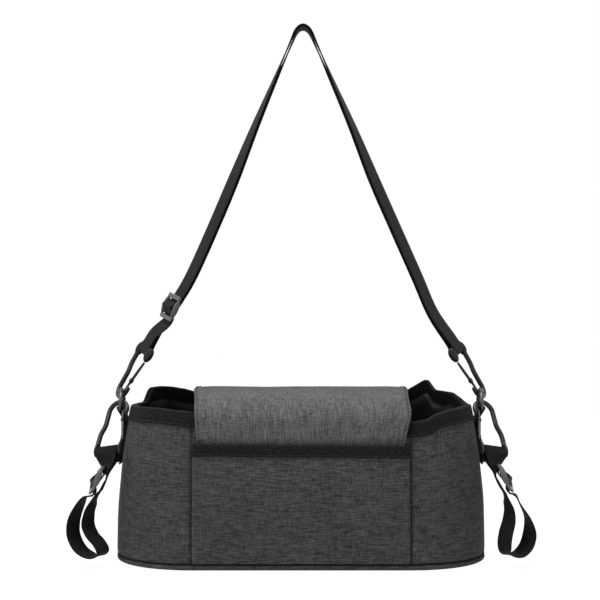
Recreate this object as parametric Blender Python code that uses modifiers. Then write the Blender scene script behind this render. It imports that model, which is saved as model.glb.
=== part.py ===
# Stroller bag: a stiffened fabric tub with a tucked flap and a front pocket, carried by a
# doubled shoulder strap on snap hooks, with two strap loops that hang from the same rings.
# Metres, +Z up. The origin is the centre of the flat base, +X the right end, -Y the front.

import math

import bmesh
import bpy
from mathutils import Matrix, Vector

# Tub
HALF_STRAIGHT = 0.104       # middle to each front seam
BASE_RADIUS = 0.079         # round ends, at the base
RIM_LEAN = 0.0145           # how far the wall has leaned in at the rim
LEAN_POWER = 2.5
RIM_HEIGHT = 0.154
WALL = 0.0035               # outer fabric with its foam
DIP_DEPTH = 0.011           # the rim sags at the right front corner
DIP_AT = 0.108
DIP_REACH = 0.050
BACK_RISE = 0.011           # the back panel stands taller
BACK_LEFT_EDGE = 0.46       # sine of the angle round each end where the back panel ends
BACK_RIGHT_EDGE = 0.78
BACK_EDGE_RUN = 0.16
LAYER_GAP = 0.0004          # air between two layers that lie on each other
LINING = 0.0010
LEVELS = 7                  # rows of faces up a wall
STRAIGHT_STEPS = 6
END_STEPS = 16

# Base
BASE_THICK = 0.0037
BASE_ROLL = 0.0028          # how far the base's lower edge rolls under
WELT_RADIUS = 0.0012
BOARD_THICK = 0.0015
BOARD_MARGIN = 0.0048

# Rim binding and pocket
TAPE = 0.0010
TAPE_LEG = 0.0140
POCKET_TOP = 0.1208
POCKET_LEG = 0.0128
POCKET_CLOTH = 0.0012
POCKET_SEAM = 0.0036        # width of the return that joins the pocket to the wall
POCKET_RISE_Z = 0.080
POCKET_ROOM = 0.0022        # room left behind the tucked flap

# Flap
FLAP_CLOTH = 0.0018
FLAP_HALF_TOP = 0.107
FLAP_HALF_RIM = 0.1030
FLAP_HALF_TUCK = 0.0995
FLAP_CROWN = 0.0040         # rise of the flap above the line between the rims
FLAP_TUCK = 0.0130          # how far it goes down inside the pocket

# Dividers
DIVIDER_AT = 0.092
DIVIDER_THICK = 0.0040
DIVIDER_DROP = 0.001        # below the binding's lower edge

# Webbing, rings and tabs
WEB_WIDTH = 0.0250
WEB_THICK = 0.0014
WEB_PITCH = 0.0022          # centre to centre of two strap layers
RING_WIRE = 0.0019
RING_OUT = 0.0079           # ring bar beyond the bound rim
RING_BAR_Z = 0.1490
RING_HEIGHT = 0.0185
RING_HALF = 0.0156
TAB_BOTTOM = 0.094

# Snap hooks, in the hook's own plane: u across, v from the strap bar to the bend
HOOK_REACH = 0.0525         # strap bar axis to bend axis
HOOK_HALF = 0.0110          # middle to the leg's axis at the bend
HOOK_BEND = 0.0102          # depth of the bend
HOOK_ROD = 0.0025
HOOK_BAR = 0.0021
EAR_AT = 0.0149
EAR = (0.0018, 0.0080, 0.0046)
GATE_ROD = 0.0011
GATE_GAP = 0.0006
GATE_PIVOT = (0.0146, 0.0100)
NOSE_END = 0.0385
KNOB_V = 0.0320
SHOULDER_LEAN = 30.0        # degrees, how the hooks of the shoulder strap lean in
SHOULDER_TWIST = 0.48      # share of the bar's length that shows from the front
SHOULDER_SEAT = 0.0038
SHOULDER_Y = 0.0076
STROLLER_ALONG = (0.152, 0.507, 0.848)
STROLLER_TWIST = 0.80
STROLLER_SEAT = 0.0014
STROLLER_Y = -0.012
STROLLER_OUT = 0.002

# Ladder sliders
SLIDER_BAR = 0.0013
SLIDER_PITCH = 0.0095       # centre bar to each outer bar
SLIDER_RAIL = 0.0148

# Shoulder strap. A leg's points are shares of the way from its slider or hook to the top.
LEFT, RIGHT = -1.0, 1.0
STRAP_TOP = 0.5298
STRAP_TOP_X = 0.002
STRAP_TURN = 0.16           # the legs turn their width over this length below the top
STRAP_WIDTH_WAY = (0.405, -0.900, -0.180)
STRAP_LEG_WAY = (0.400, 0.0, 0.9165)
SHOULDER_SLIDER = (0.0263, -0.0076, 0.0442)    # from the left hook's strap bar
LEFT_LEG = [
    (0.1623, 0.1144), (0.3321, 0.2931), (0.4755, 0.4539), (0.6377, 0.6433), (0.7925, 0.8149),
    (0.9034, 0.9364), (0.9502, 0.9846),
]
RIGHT_LEG = [
    (0.9557, 0.9867), (0.9141, 0.9451), (0.8178, 0.8403), (0.6811, 0.6923), (0.5411, 0.5289),
    (0.4077, 0.3840), (0.2645, 0.2298), (0.1636, 0.1188),
]

# Sliders of the hanging straps, from their hooks' strap bars
STROLLER_SLIDER = {LEFT: (-0.0112, -0.0092, -0.0289), RIGHT: (0.0112, -0.0092, -0.0269)}

PARTS = "stroller_bag"


def clamp01(value):
    return max(0.0, min(1.0, value))


def smooth01(value):
    value = clamp01(value)
    return value * value * (3.0 - 2.0 * value)


def make_material(name, colour, roughness, metallic=0.0):
    material = bpy.data.materials.new(name)
    material.use_nodes = True
    shader = material.node_tree.nodes["Principled BSDF"]
    shader.inputs["Base Color"].default_value = (*colour, 1.0)
    shader.inputs["Roughness"].default_value = roughness
    shader.inputs["Metallic"].default_value = metallic
    return material


def add_object(name, data, material):
    obj = bpy.data.objects.new(name, data)
    data.materials.clear()
    data.materials.append(material)
    bpy.data.collections[PARTS].objects.link(obj)
    return obj


def mesh_from(bm, name, fix_normals=True):
    if fix_normals:
        bmesh.ops.recalc_face_normals(bm, faces=bm.faces)
    mesh = bpy.data.meshes.new(name)
    bm.to_mesh(mesh)
    bm.free()
    return mesh


def solidify(obj, thickness, offset):
    modifier = obj.modifiers.new("thickness", "SOLIDIFY")
    modifier.thickness = thickness
    modifier.offset = offset
    modifier.use_even_offset = True


# The tub's outline is a stadium. A station is the centre of its arc and its angle.

def end_radius(z):
    return BASE_RADIUS - RIM_LEAN * (max(z, 0.0) / RIM_HEIGHT) ** LEAN_POWER


def outline_stations():
    half = math.pi / 2.0
    stations = []
    for step in range(STRAIGHT_STEPS):
        stations.append((-HALF_STRAIGHT + 2.0 * HALF_STRAIGHT * step / STRAIGHT_STEPS, -half))
    for step in range(END_STEPS):
        stations.append((HALF_STRAIGHT, -half + math.pi * step / END_STEPS))
    for step in range(STRAIGHT_STEPS):
        stations.append((HALF_STRAIGHT - 2.0 * HALF_STRAIGHT * step / STRAIGHT_STEPS, half))
    for step in range(END_STEPS):
        stations.append((-HALF_STRAIGHT, half + math.pi * step / END_STEPS))
    return stations


def wall_point(station, z, out):
    centre, angle = station
    radius = end_radius(z) + out
    return Vector((centre + radius * math.cos(angle), radius * math.sin(angle), z))


def rim_at(station):
    x, y, _ = wall_point(station, RIM_HEIGHT, 0.0)
    turn = math.sin(station[1])
    edge = BACK_LEFT_EDGE if x < 0.0 else BACK_RIGHT_EDGE
    rise = smooth01((turn - edge) / BACK_EDGE_RUN)
    dip = 0.0
    if y < 0.0:
        dip = math.cos(0.5 * math.pi * clamp01(abs(x - DIP_AT) / DIP_REACH)) ** 2
    return RIM_HEIGHT + BACK_RISE * rise - DIP_DEPTH * dip


def join_rings(bm, rings):
    rows = [[bm.verts.new(point) for point in ring] for ring in rings]
    for low, high in zip(rows, rows[1:]):
        for index, vert in enumerate(low):
            after = (index + 1) % len(low)
            bm.faces.new((vert, low[after], high[after], high[index]))
    return rows


def grid_surface(points):
    """An open sheet through rows of points."""
    bm = bmesh.new()
    rows = [[bm.verts.new(point) for point in row] for row in points]
    for low, high in zip(rows, rows[1:]):
        for index in range(len(low) - 1):
            bm.faces.new((low[index], low[index + 1], high[index + 1], high[index]))
    return bm


def loop_of_sections(name, sections):
    """A closed band whose cross-sections are joined all the way round."""
    bm = bmesh.new()
    join_rings(bm, sections)
    bm.verts.ensure_lookup_table()
    count = len(sections[0])
    last = bm.verts[-count:]
    first = bm.verts[:count]
    for index in range(count):
        after = (index + 1) % count
        bm.faces.new((last[index], last[after], first[after], first[index]))
    return mesh_from(bm, name)


def run_of_sections(name, sections):
    """A strip whose cross-sections are joined from end to end, with both ends closed."""
    bm = bmesh.new()
    rows = join_rings(bm, sections)
    bm.faces.new(rows[0])
    bm.faces.new(list(reversed(rows[-1])))
    return mesh_from(bm, name)


def slab(name, levels):
    """A stadium plate through (height, out) pairs, flat at the top and the bottom."""
    bm = bmesh.new()
    rows = join_rings(bm, [[Vector((*wall_point(s, 0.0, out).xy, z)) for s in outline_stations()]
                           for z, out in levels])
    bm.faces.new(list(reversed(rows[0])))
    bm.faces.new(rows[-1])
    return mesh_from(bm, name)


# Layers of the base, from the floor up

WELT_Z = BASE_THICK + LAYER_GAP + WELT_RADIUS
WALL_BOTTOM = WELT_Z + WELT_RADIUS + LAYER_GAP
BOARD_Z = BASE_THICK + LAYER_GAP
LINING_Z = BOARD_Z + BOARD_THICK + LAYER_GAP
FLOOR_Z = LINING_Z + LINING
LINING_OUT = -(WALL + LAYER_GAP)
INNER_OUT = LINING_OUT - LINING
BOUND_OUT = LAYER_GAP + TAPE
SHELL_DROP = TAPE + LAYER_GAP


def make_base(cloth, board, binding):
    add_object("base_panel", slab("base_panel", [
        (0.0, -BASE_ROLL), (BASE_ROLL * 0.4, -BASE_ROLL * 0.3), (BASE_THICK, -0.0002)]), cloth)
    add_object("base_board", slab("base_board", [
        (BOARD_Z, -BOARD_MARGIN), (BOARD_Z + BOARD_THICK, -BOARD_MARGIN)]), board)
    points = [wall_point(s, WELT_Z, -WELT_RADIUS * 0.6) for s in outline_stations()]
    add_object("base_welt", rod_mesh("base_welt", points, WELT_RADIUS, closed=True), binding)


def make_tub(cloth, lining):
    stations = outline_stations()

    def rows(bottom, out):
        return [[wall_point(s, bottom + (rim_at(s) - SHELL_DROP - bottom) * level / LEVELS, out)
                 for s in stations] for level in range(LEVELS + 1)]

    bm = bmesh.new()
    join_rings(bm, rows(WALL_BOTTOM, 0.0))
    shell = add_object("body_shell", mesh_from(bm, "body_shell", False), cloth)
    solidify(shell, WALL, -1.0)
    bm = bmesh.new()
    rings = join_rings(bm, rows(LINING_Z, LINING_OUT))
    bm.faces.new(list(reversed(rings[0])))
    inner = add_object("lining", mesh_from(bm, "lining", False), lining)
    solidify(inner, LINING, -1.0)


def make_rim_binding(binding):
    outer, inner = LAYER_GAP, INNER_OUT - LAYER_GAP
    bevel = TAPE * 0.6
    section = [(outer + TAPE, -TAPE_LEG), (outer + TAPE, -bevel), (outer + TAPE - bevel, 0.0),
               (inner - TAPE + bevel, 0.0), (inner - TAPE, -bevel), (inner - TAPE, -TAPE_LEG),
               (inner, -TAPE_LEG), (inner, -TAPE), (outer, -TAPE), (outer, -TAPE_LEG)]
    sections = [[wall_point(s, rim_at(s) + drop, out) for out, drop in section]
                for s in outline_stations()]
    add_object("rim_binding", loop_of_sections("rim_binding", sections), binding)


# The pocket stands off the wall at its mouth, by what the flap and its own binding need.

FLAP_OUT = LAYER_GAP + 0.0002
POCKET_STAND = FLAP_OUT + FLAP_CLOTH + TAPE + LAYER_GAP + POCKET_ROOM
POCKET_BOTTOM = WALL_BOTTOM


def pocket_out(x, z):
    side = smooth01((HALF_STRAIGHT - abs(x)) / POCKET_SEAM)
    rise = smooth01(z / POCKET_RISE_Z)
    return LAYER_GAP + (POCKET_STAND - LAYER_GAP) * side * rise


def front_point(x, z, out):
    return Vector((x, -(end_radius(z) + out), z))


def make_pocket(cloth, binding):
    seam = HALF_STRAIGHT - POCKET_SEAM
    columns = [-HALF_STRAIGHT, -HALF_STRAIGHT + POCKET_SEAM * 0.5]
    columns += [-seam + 2.0 * seam * step / 8 for step in range(9)]
    columns += [HALF_STRAIGHT - POCKET_SEAM * 0.5, HALF_STRAIGHT]
    top = POCKET_TOP - SHELL_DROP
    rows = []
    for level in range(LEVELS + 1):
        z = POCKET_BOTTOM + (top - POCKET_BOTTOM) * level / LEVELS
        rows.append([front_point(x, z, pocket_out(x, z)) for x in columns])
    panel = add_object("front_pocket", mesh_from(grid_surface(rows), "front_pocket", False), cloth)
    solidify(panel, POCKET_CLOTH, 1.0)
    outer = POCKET_CLOTH + LAYER_GAP
    section = [(outer + TAPE, -POCKET_LEG), (outer + TAPE, 0.0), (-LAYER_GAP - TAPE, 0.0),
               (-LAYER_GAP - TAPE, -POCKET_LEG), (-LAYER_GAP, -POCKET_LEG), (-LAYER_GAP, -TAPE),
               (outer, -TAPE), (outer, -POCKET_LEG)]
    sections = []
    for step in range(9):
        x = -seam + 2.0 * seam * step / 8
        sections.append([front_point(x, POCKET_TOP + drop,
                                     pocket_out(x, POCKET_TOP + drop) + out)
                         for out, drop in section])
    add_object("pocket_binding", run_of_sections("pocket_binding", sections), binding)


def catmull(points, steps):
    """A smooth curve through points, with the given number of steps between two of them."""
    ends = [points[0] * 2.0 - points[1], *points, points[-1] * 2.0 - points[-2]]
    result = []
    for index in range(len(points) - 1):
        a, b, c, d = ends[index:index + 4]
        for step in range(steps):
            t = step / steps
            result.append(0.5 * ((2.0 * b) + (c - a) * t + (2.0 * a - 5.0 * b + 4.0 * c - d) * t * t
                                 + (3.0 * b - a - 3.0 * c + d) * t ** 3))
    result.append(points[-1].copy())
    return result


def flap_path():
    """Inner face of the flap as (y, z), from the outside of the back wall to the tuck."""
    back_rim = RIM_HEIGHT + BACK_RISE
    bound = BOUND_OUT + 2.0 * LAYER_GAP
    path = []
    for drop in (0.024, 0.014, 0.005):
        z = back_rim - drop
        path.append((end_radius(z) + bound, z))
    edge_back = end_radius(back_rim)
    edge_front = end_radius(RIM_HEIGHT)
    path.append((edge_back - 0.0005, back_rim + 0.0022))
    for share in (0.10, 0.30, 0.55, 0.80, 0.94):
        y = edge_back + (-edge_front - edge_back) * share
        z = back_rim + (RIM_HEIGHT - back_rim) * share
        path.append((y, z + 0.0026 + FLAP_CROWN * math.sin(math.pi * share)))
    path.append((-(edge_front - 0.0002), RIM_HEIGHT + 0.0018))
    for drop in (0.003, 0.008, 0.014, 0.020, TAPE_LEG + DIP_DEPTH + 0.001):
        z = RIM_HEIGHT - drop
        path.append((-(end_radius(z) + bound), z))
    for drop in (0.003, FLAP_TUCK):
        z = POCKET_TOP - drop
        path.append((-(end_radius(z) + FLAP_OUT), z))
    return path


def flap_half(y, z):
    if z < RIM_HEIGHT and y < 0.0:
        share = (RIM_HEIGHT - z) / (RIM_HEIGHT - POCKET_TOP + FLAP_TUCK)
        return FLAP_HALF_RIM + (FLAP_HALF_TUCK - FLAP_HALF_RIM) * clamp01(share * 1.3)
    return FLAP_HALF_TOP + (FLAP_HALF_RIM - FLAP_HALF_TOP) * clamp01(-y / end_radius(RIM_HEIGHT))


def make_flap(cloth):
    path = catmull([Vector((0.0, y, z)) for y, z in flap_path()], 2)
    across = 8
    rows = []
    for point in path:
        half = flap_half(point.y, point.z)
        rows.append([Vector((half * (2.0 * i / across - 1.0), point.y, point.z))
                     for i in range(across + 1)])
    rows.reverse()
    flap = add_object("top_flap", mesh_from(grid_surface(rows), "top_flap", False), cloth)
    solidify(flap, FLAP_CLOTH, 1.0)


def make_dividers(lining):
    rows = 6
    top = RIM_HEIGHT - DIP_DEPTH - TAPE_LEG - DIVIDER_DROP
    for name, side in (("divider_left", LEFT), ("divider_right", RIGHT)):
        points = []
        for level in range(rows + 1):
            z = FLOOR_Z + LAYER_GAP + (top - FLOOR_Z - LAYER_GAP) * level / rows
            half = end_radius(z) + INNER_OUT - LAYER_GAP
            points.append([Vector((side * DIVIDER_AT, half * (2.0 * i / 4 - 1.0), z))
                           for i in range(5)])
        panel = add_object(name, mesh_from(grid_surface(points), name, False), lining)
        solidify(panel, DIVIDER_THICK, 0.0)


def rod_mesh(name, points, radius, closed=False, radii=None, resolution=2):
    """A round rod along points, as a closed mesh with welded caps."""
    curve = bpy.data.curves.new(name, "CURVE")
    curve.dimensions = "3D"
    curve.bevel_depth = radius
    curve.bevel_resolution = resolution
    curve.use_fill_caps = not closed
    spline = curve.splines.new("POLY")
    spline.points.add(len(points) - 1)
    spline.use_cyclic_u = closed
    for index, point in enumerate(points):
        spline.points[index].co = (*point, 1.0)
        spline.points[index].radius = 1.0 if radii is None else radii[index]
    guide = bpy.data.objects.new(name, curve)
    bpy.context.scene.collection.objects.link(guide)
    graph = bpy.context.evaluated_depsgraph_get()
    mesh = bpy.data.meshes.new_from_object(guide.evaluated_get(graph))
    bpy.data.objects.remove(guide)
    bpy.data.curves.remove(curve)
    bm = bmesh.new()
    bm.from_mesh(mesh)
    bpy.data.meshes.remove(mesh)
    bmesh.ops.remove_doubles(bm, verts=bm.verts, dist=0.00001)
    return mesh_from(bm, name)


def ellipsoid_mesh(name, centre, radii):
    bm = bmesh.new()
    place = Matrix.Translation(centre) @ Matrix.Diagonal((*radii, 1.0))
    bmesh.ops.create_uvsphere(bm, u_segments=10, v_segments=6, radius=1.0, matrix=place)
    return mesh_from(bm, name)


def union_mesh(name, pieces):
    """One mesh from closed pieces that reach into each other."""
    objects = []
    for piece in pieces:
        obj = bpy.data.objects.new(name, piece)
        bpy.context.scene.collection.objects.link(obj)
        objects.append(obj)
    for other in objects[1:]:
        modifier = objects[0].modifiers.new("join", "BOOLEAN")
        modifier.operation = "UNION"
        modifier.object = other
    bpy.context.view_layer.update()
    graph = bpy.context.evaluated_depsgraph_get()
    mesh = bpy.data.meshes.new_from_object(objects[0].evaluated_get(graph))
    for obj in objects:
        bpy.data.objects.remove(obj)
    mesh.name = name
    return mesh


def hook_axis():
    """The back leg, bend and nose of a snap hook, as points in its plane."""
    centre_v = HOOK_REACH - HOOK_BEND
    points = [(-EAR_AT - 0.0008, 0.002), (-EAR_AT - 0.0006, 0.009), (-EAR_AT, 0.018),
              (-HOOK_HALF - 0.0006, 0.027), (-HOOK_HALF - 0.0001, 0.035)]
    for step in range(9):
        angle = math.pi * (1.0 - step / 8)
        points.append((HOOK_HALF * math.cos(angle), centre_v + HOOK_BEND * math.sin(angle)))
    points.append((HOOK_HALF - 0.0002, NOSE_END + 0.0016))
    points.append((HOOK_HALF - 0.0005, NOSE_END))
    return [Vector((u, v, 0.0)) for u, v in points]


def hook_mesh():
    axis = hook_axis()
    radii = [1.0] * (len(axis) - 2) + [0.95, 0.55]
    leg = rod_mesh("hook_leg", axis, HOOK_ROD, radii=radii)
    bar = rod_mesh("hook_bar", [Vector((-EAR_AT, 0.0, 0.0)), Vector((EAR_AT, 0.0, 0.0))], HOOK_BAR)
    ears = [ellipsoid_mesh("hook_ear", (side * EAR_AT, 0.001, 0.0), EAR) for side in (-1.0, 1.0)]
    return union_mesh("snap_hook", [leg, bar, *ears])


def gate_mesh():
    inside = HOOK_HALF - HOOK_ROD - GATE_GAP - GATE_ROD
    pivot_u, pivot_v = GATE_PIVOT
    slope = (inside - pivot_u) / (NOSE_END + 0.0012 - pivot_v)
    rows = (pivot_v - 0.0006, pivot_v + 0.006, KNOB_V - 0.006, KNOB_V, NOSE_END + 0.0012)
    axis = [(pivot_u + slope * (v - pivot_v), v) for v in rows] + [(inside - 0.0002, NOSE_END + 0.0045)]
    rod = rod_mesh("gate_rod", [Vector((u, v, 0.0)) for u, v in axis], GATE_ROD)
    knob_u = pivot_u + slope * (KNOB_V - pivot_v)
    knob = ellipsoid_mesh("gate_knob", (knob_u, KNOB_V, 0.0), (0.0018, 0.0034, 0.0024))
    return union_mesh("snap_gate", [rod, knob])


class Frame:
    """A local place: u across from the far to the near edge, v along, w outward."""

    def __init__(self, origin, across, along, outward):
        self.origin = Vector(origin)
        self.v = Vector(along).normalized()
        across = Vector(across)
        self.u = (across - across.dot(self.v) * self.v).normalized()
        self.w = self.u.cross(self.v)
        if self.w.dot(Vector(outward)) < 0.0:
            self.w = -self.w

    def at(self, v, w, u=0.0):
        return self.origin + self.u * u + self.v * v + self.w * w

    def matrix(self):
        normal = self.u.cross(self.v)
        turn = Matrix((self.u, self.v, normal)).transposed().to_4x4()
        return Matrix.Translation(self.origin) @ turn


RING_X = HALF_STRAIGHT + end_radius(RING_BAR_Z) + BOUND_OUT + RING_OUT
WRAP = WEB_THICK / 2.0 + LAYER_GAP      # from a bar's skin to the middle of the webbing round it


def ring_point(side, y, up):
    """A point of the ring's plane, up from the middle of its bar."""
    return Vector((side * RING_X, y, RING_BAR_Z + up))


def shoulder_frame(side):
    """The hook bends under the ring's top and leans in along the strap."""
    lean = math.radians(SHOULDER_LEAN)
    along = Vector((side * math.sin(lean), 0.0, -math.cos(lean)))
    across = Vector((-side * SHOULDER_TWIST, -math.sqrt(1.0 - SHOULDER_TWIST ** 2), 0.0))
    seat = RING_WIRE + HOOK_ROD + SHOULDER_SEAT
    crossing = ring_point(side, SHOULDER_Y, RING_HEIGHT)
    frame = Frame(crossing, across, along, (side, 0.0, 0.4))
    frame.origin = crossing - frame.v * (HOOK_REACH - seat)
    return frame


def stroller_frame(side):
    """The hook bends over the webbed bar of the ring and hangs forward."""
    along = Vector((-side * STROLLER_ALONG[0], STROLLER_ALONG[1], STROLLER_ALONG[2]))
    across = Vector((-side * STROLLER_TWIST, -math.sqrt(1.0 - STROLLER_TWIST ** 2), 0.0))
    seat = RING_WIRE + LAYER_GAP + WEB_THICK + HOOK_ROD + STROLLER_SEAT
    crossing = Vector((side * (RING_X + STROLLER_OUT), STROLLER_Y, RING_BAR_Z))
    frame = Frame(crossing, across, along, (side, 0.0, 0.4))
    frame.origin = crossing - frame.v * (HOOK_REACH - seat)
    return frame


def ribbon_mesh(name, stations, steps=3):
    """Webbing along (point, width direction) stations."""
    points = catmull([point for point, _ in stations], steps)
    widths = catmull([Vector(width) for _, width in stations], steps)
    sections = []
    for index, point in enumerate(points):
        ahead = points[min(index + 1, len(points) - 1)]
        behind = points[max(index - 1, 0)]
        along = (ahead - behind).normalized()
        width = widths[index]
        width = (width - width.dot(along) * along).normalized()
        normal = width.cross(along)
        across, deep = width * (WEB_WIDTH / 2.0), normal * (WEB_THICK / 2.0)
        sections.append([point - across - deep, point + across - deep,
                         point + across + deep, point - across + deep])
    return run_of_sections(name, sections)


def make_tab(name, side, webbing):
    """Webbing sewn to the end wall, folded round the ring's bar."""
    wrap = RING_WIRE + WRAP
    inner, outer = [], []
    for z in (TAB_BOTTOM, 0.110, 0.124, 0.134):
        x = HALF_STRAIGHT + end_radius(z) + WRAP
        inner.append((x, z))
        outer.append((x + WEB_THICK + LAYER_GAP, z + 0.002 if z == TAB_BOTTOM else z))
    turn = [(RING_X + wrap * math.cos(angle), RING_BAR_Z + wrap * math.sin(angle))
            for angle in (math.pi * share for share in (1.0, 0.75, 0.5, 0.25, 0.0))]
    bound = HALF_STRAIGHT + end_radius(0.1405) + BOUND_OUT + WRAP
    path = inner + [(bound + 0.0004, 0.1405)] + turn + [(bound + 0.0030, 0.1405)] + outer[::-1]
    stations = [(Vector((side * x, 0.0, z)), (0.0, -1.0, 0.0)) for x, z in path]
    add_object(name, ribbon_mesh(name, stations), webbing)


def make_ring(name, side, plastic):
    top = RING_HALF - 0.0011
    centre = RING_HEIGHT - top
    points = [(-RING_HALF + 0.0020, 0.0), (-RING_HALF + 0.0005, 0.0012)]
    points += [(-RING_HALF * math.cos(math.pi * step / 12),
                centre + top * math.sin(math.pi * step / 12)) for step in range(13)]
    points += [(RING_HALF - 0.0005, 0.0012), (RING_HALF - 0.0020, 0.0)]
    path = [ring_point(side, y, up) for y, up in points]
    add_object(name, rod_mesh(name, path, RING_WIRE, closed=True), plastic)


def slider_mesh():
    """A ladder slider: a rounded frame with a bar across its middle."""
    corner = 0.0030
    points = []
    for quarter, (x, y) in enumerate(((1, 1), (-1, 1), (-1, -1), (1, -1))):
        centre = (x * (SLIDER_RAIL - corner), y * (SLIDER_PITCH - corner))
        for step in range(3):
            angle = math.pi / 2.0 * (quarter + step / 2.0)
            points.append(Vector((centre[0] + corner * math.cos(angle),
                                  centre[1] + corner * math.sin(angle), 0.0)))
    rails = rod_mesh("slider_frame", points, SLIDER_BAR, closed=True)
    ends = (Vector((-SLIDER_RAIL, 0.0, 0.0)), Vector((SLIDER_RAIL, 0.0, 0.0)))
    bar = rod_mesh("slider_bar", ends, SLIDER_BAR * 0.92)
    return union_mesh("ladder_slider", [rails, bar])


# Where webbing passes a ladder slider, as (v, w): over the centre bar, under the outer two

UNDER = SLIDER_BAR + WRAP + 0.0003
THROUGH = [(-SLIDER_PITCH, -UNDER), (-SLIDER_PITCH * 0.5, UNDER * 0.35),
           (0.0, UNDER + WEB_THICK + LAYER_GAP), (SLIDER_PITCH * 0.5, UNDER * 0.35),
           (SLIDER_PITCH, -UNDER)]
SEWN = [(0.0006, UNDER), (-UNDER * 0.72, UNDER * 0.72), (-UNDER, 0.0), (-UNDER * 0.72, -UNDER * 0.72),
        (0.0006, -UNDER - 0.0002), (SLIDER_PITCH, -UNDER - WEB_PITCH)]


def bar_turn(frame, start, count=5):
    """Half a turn of webbing round a hook's strap bar, from one face to the other."""
    reach = HOOK_BAR + WRAP
    result = []
    for step in range(count):
        angle = math.pi * step / (count - 1)
        result.append((frame.at(reach * math.sin(angle), start * reach * math.cos(angle)), frame.u))
    return result


def make_shoulder_strap(webbing):
    left, right = shoulder_frame(LEFT), shoulder_frame(RIGHT)
    slider = shoulder_slider_frame()
    stations = []
    for v, w in ((-0.024, -0.0012), (-0.010, -0.0018)):
        stations.append((left.at(v, w), left.u))
    stations += bar_turn(left, -1.0)
    for v, w in ((-0.010, 0.0018), (-0.020, 0.0012)):
        stations.append((left.at(v, w), left.u))
    stations.append((slider.at(-SLIDER_PITCH - 0.006, -UNDER), slider.u))
    stations += [(slider.at(v, w), slider.u) for v, w in THROUGH]
    middle = strap_middle()
    half = WEB_PITCH / 2.0
    outer = [(point + normal * half, width) for point, width, normal in middle]
    inner = [(point - normal * half, width) for point, width, normal in middle]
    stations += outer
    stations.append((right.at(-0.012, 0.0019), right.u))
    stations += bar_turn(right, 1.0)
    stations.append((right.at(-0.012, -0.0019), right.u))
    stations += inner[::-1]
    stations += [(slider.at(v, w), slider.u) for v, w in SEWN[::-1]]
    add_object("shoulder_strap", ribbon_mesh("shoulder_strap", stations), webbing)


def shoulder_slider_frame():
    place = shoulder_frame(LEFT).origin + Vector(SHOULDER_SLIDER)
    return Frame(place, STRAP_WIDTH_WAY, STRAP_LEG_WAY, (-1.0, 0.0, 0.4))


def strap_middle():
    """Middle line of the doubled strap, from above the slider over the top to the right hook."""
    slider, hook = shoulder_slider_frame().origin, shoulder_frame(RIGHT).origin
    points = [Vector((slider.x + (STRAP_TOP_X - slider.x) * across, 0.0,
                      slider.z + (STRAP_TOP - slider.z) * up)) for across, up in LEFT_LEG]
    points.append(Vector((STRAP_TOP_X, 0.0, STRAP_TOP)))
    points += [Vector((hook.x + (STRAP_TOP_X - hook.x) * across, 0.0,
                       hook.z + (STRAP_TOP - hook.z) * up)) for across, up in RIGHT_LEG]
    result = []
    for index, point in enumerate(points):
        behind = points[max(index - 1, 0)]
        ahead = points[min(index + 1, len(points) - 1)]
        along = (ahead - behind).normalized()
        turned = clamp01((STRAP_TOP - point.z) / STRAP_TURN)
        side = 1.0 if point.x < STRAP_TOP_X else -1.0
        across, forward, down = STRAP_WIDTH_WAY
        width = Vector((side * across * turned, -1.0 + (1.0 + forward) * turned, down * turned))
        width = (width - width.dot(along) * along).normalized()
        normal = width.cross(along)
        if normal.dot(point - Vector((STRAP_TOP_X, 0.0, slider.z))) < 0.0:
            normal = -normal
        result.append((point, width, normal))
    return result


# Each hanging loop: the outer strand from the slider down to the fold, then the inner one up.
# A row is the place from the slider's middle and the x share of the width direction.

LEFT_LOOP = [
    (-0.0090, -0.0050, -0.0160, -0.15), (-0.0150, -0.0080, -0.0250, -0.28),
    (-0.0196, -0.0110, -0.0370, -0.36), (-0.0202, -0.0130, -0.0490, -0.36),
    (-0.0163, -0.0140, -0.0595, -0.36), (-0.0100, -0.0150, -0.0668, -0.36),
    (-0.0010, -0.0160, -0.0708, -0.36), (0.0065, -0.0160, -0.0695, -0.36),
    (0.0085, -0.0160, -0.0650, -0.36), (0.0045, -0.0150, -0.0580, -0.36),
    (-0.0020, -0.0140, -0.0505, -0.36), (-0.0060, -0.0120, -0.0410, -0.36),
    (-0.0045, -0.0100, -0.0290, -0.30), (0.0005, -0.0060, -0.0180, -0.15),
]
RIGHT_LOOP = [
    (0.0085, -0.0050, -0.0160, -0.12), (0.0130, -0.0080, -0.0250, -0.05),
    (0.0189, -0.0110, -0.0372, 0.12), (0.0209, -0.0130, -0.0510, 0.36),
    (0.0180, -0.0140, -0.0625, 0.40), (0.0115, -0.0150, -0.0700, 0.40),
    (0.0045, -0.0160, -0.0720, 0.40), (-0.0015, -0.0160, -0.0695, 0.40),
    (-0.0035, -0.0150, -0.0625, 0.40), (-0.0022, -0.0140, -0.0520, 0.40),
    (0.0010, -0.0120, -0.0400, 0.36), (0.0013, -0.0090, -0.0290, 0.25),
    (-0.0015, -0.0060, -0.0190, 0.10),
]


def stroller_slider_frame(side):
    hook = stroller_frame(side)
    place = hook.origin + Vector(STROLLER_SLIDER[side])
    return Frame(place, (-side * 0.15, -0.98, 0.0), hook.origin - place, (side, 0.0, 0.4))


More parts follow.
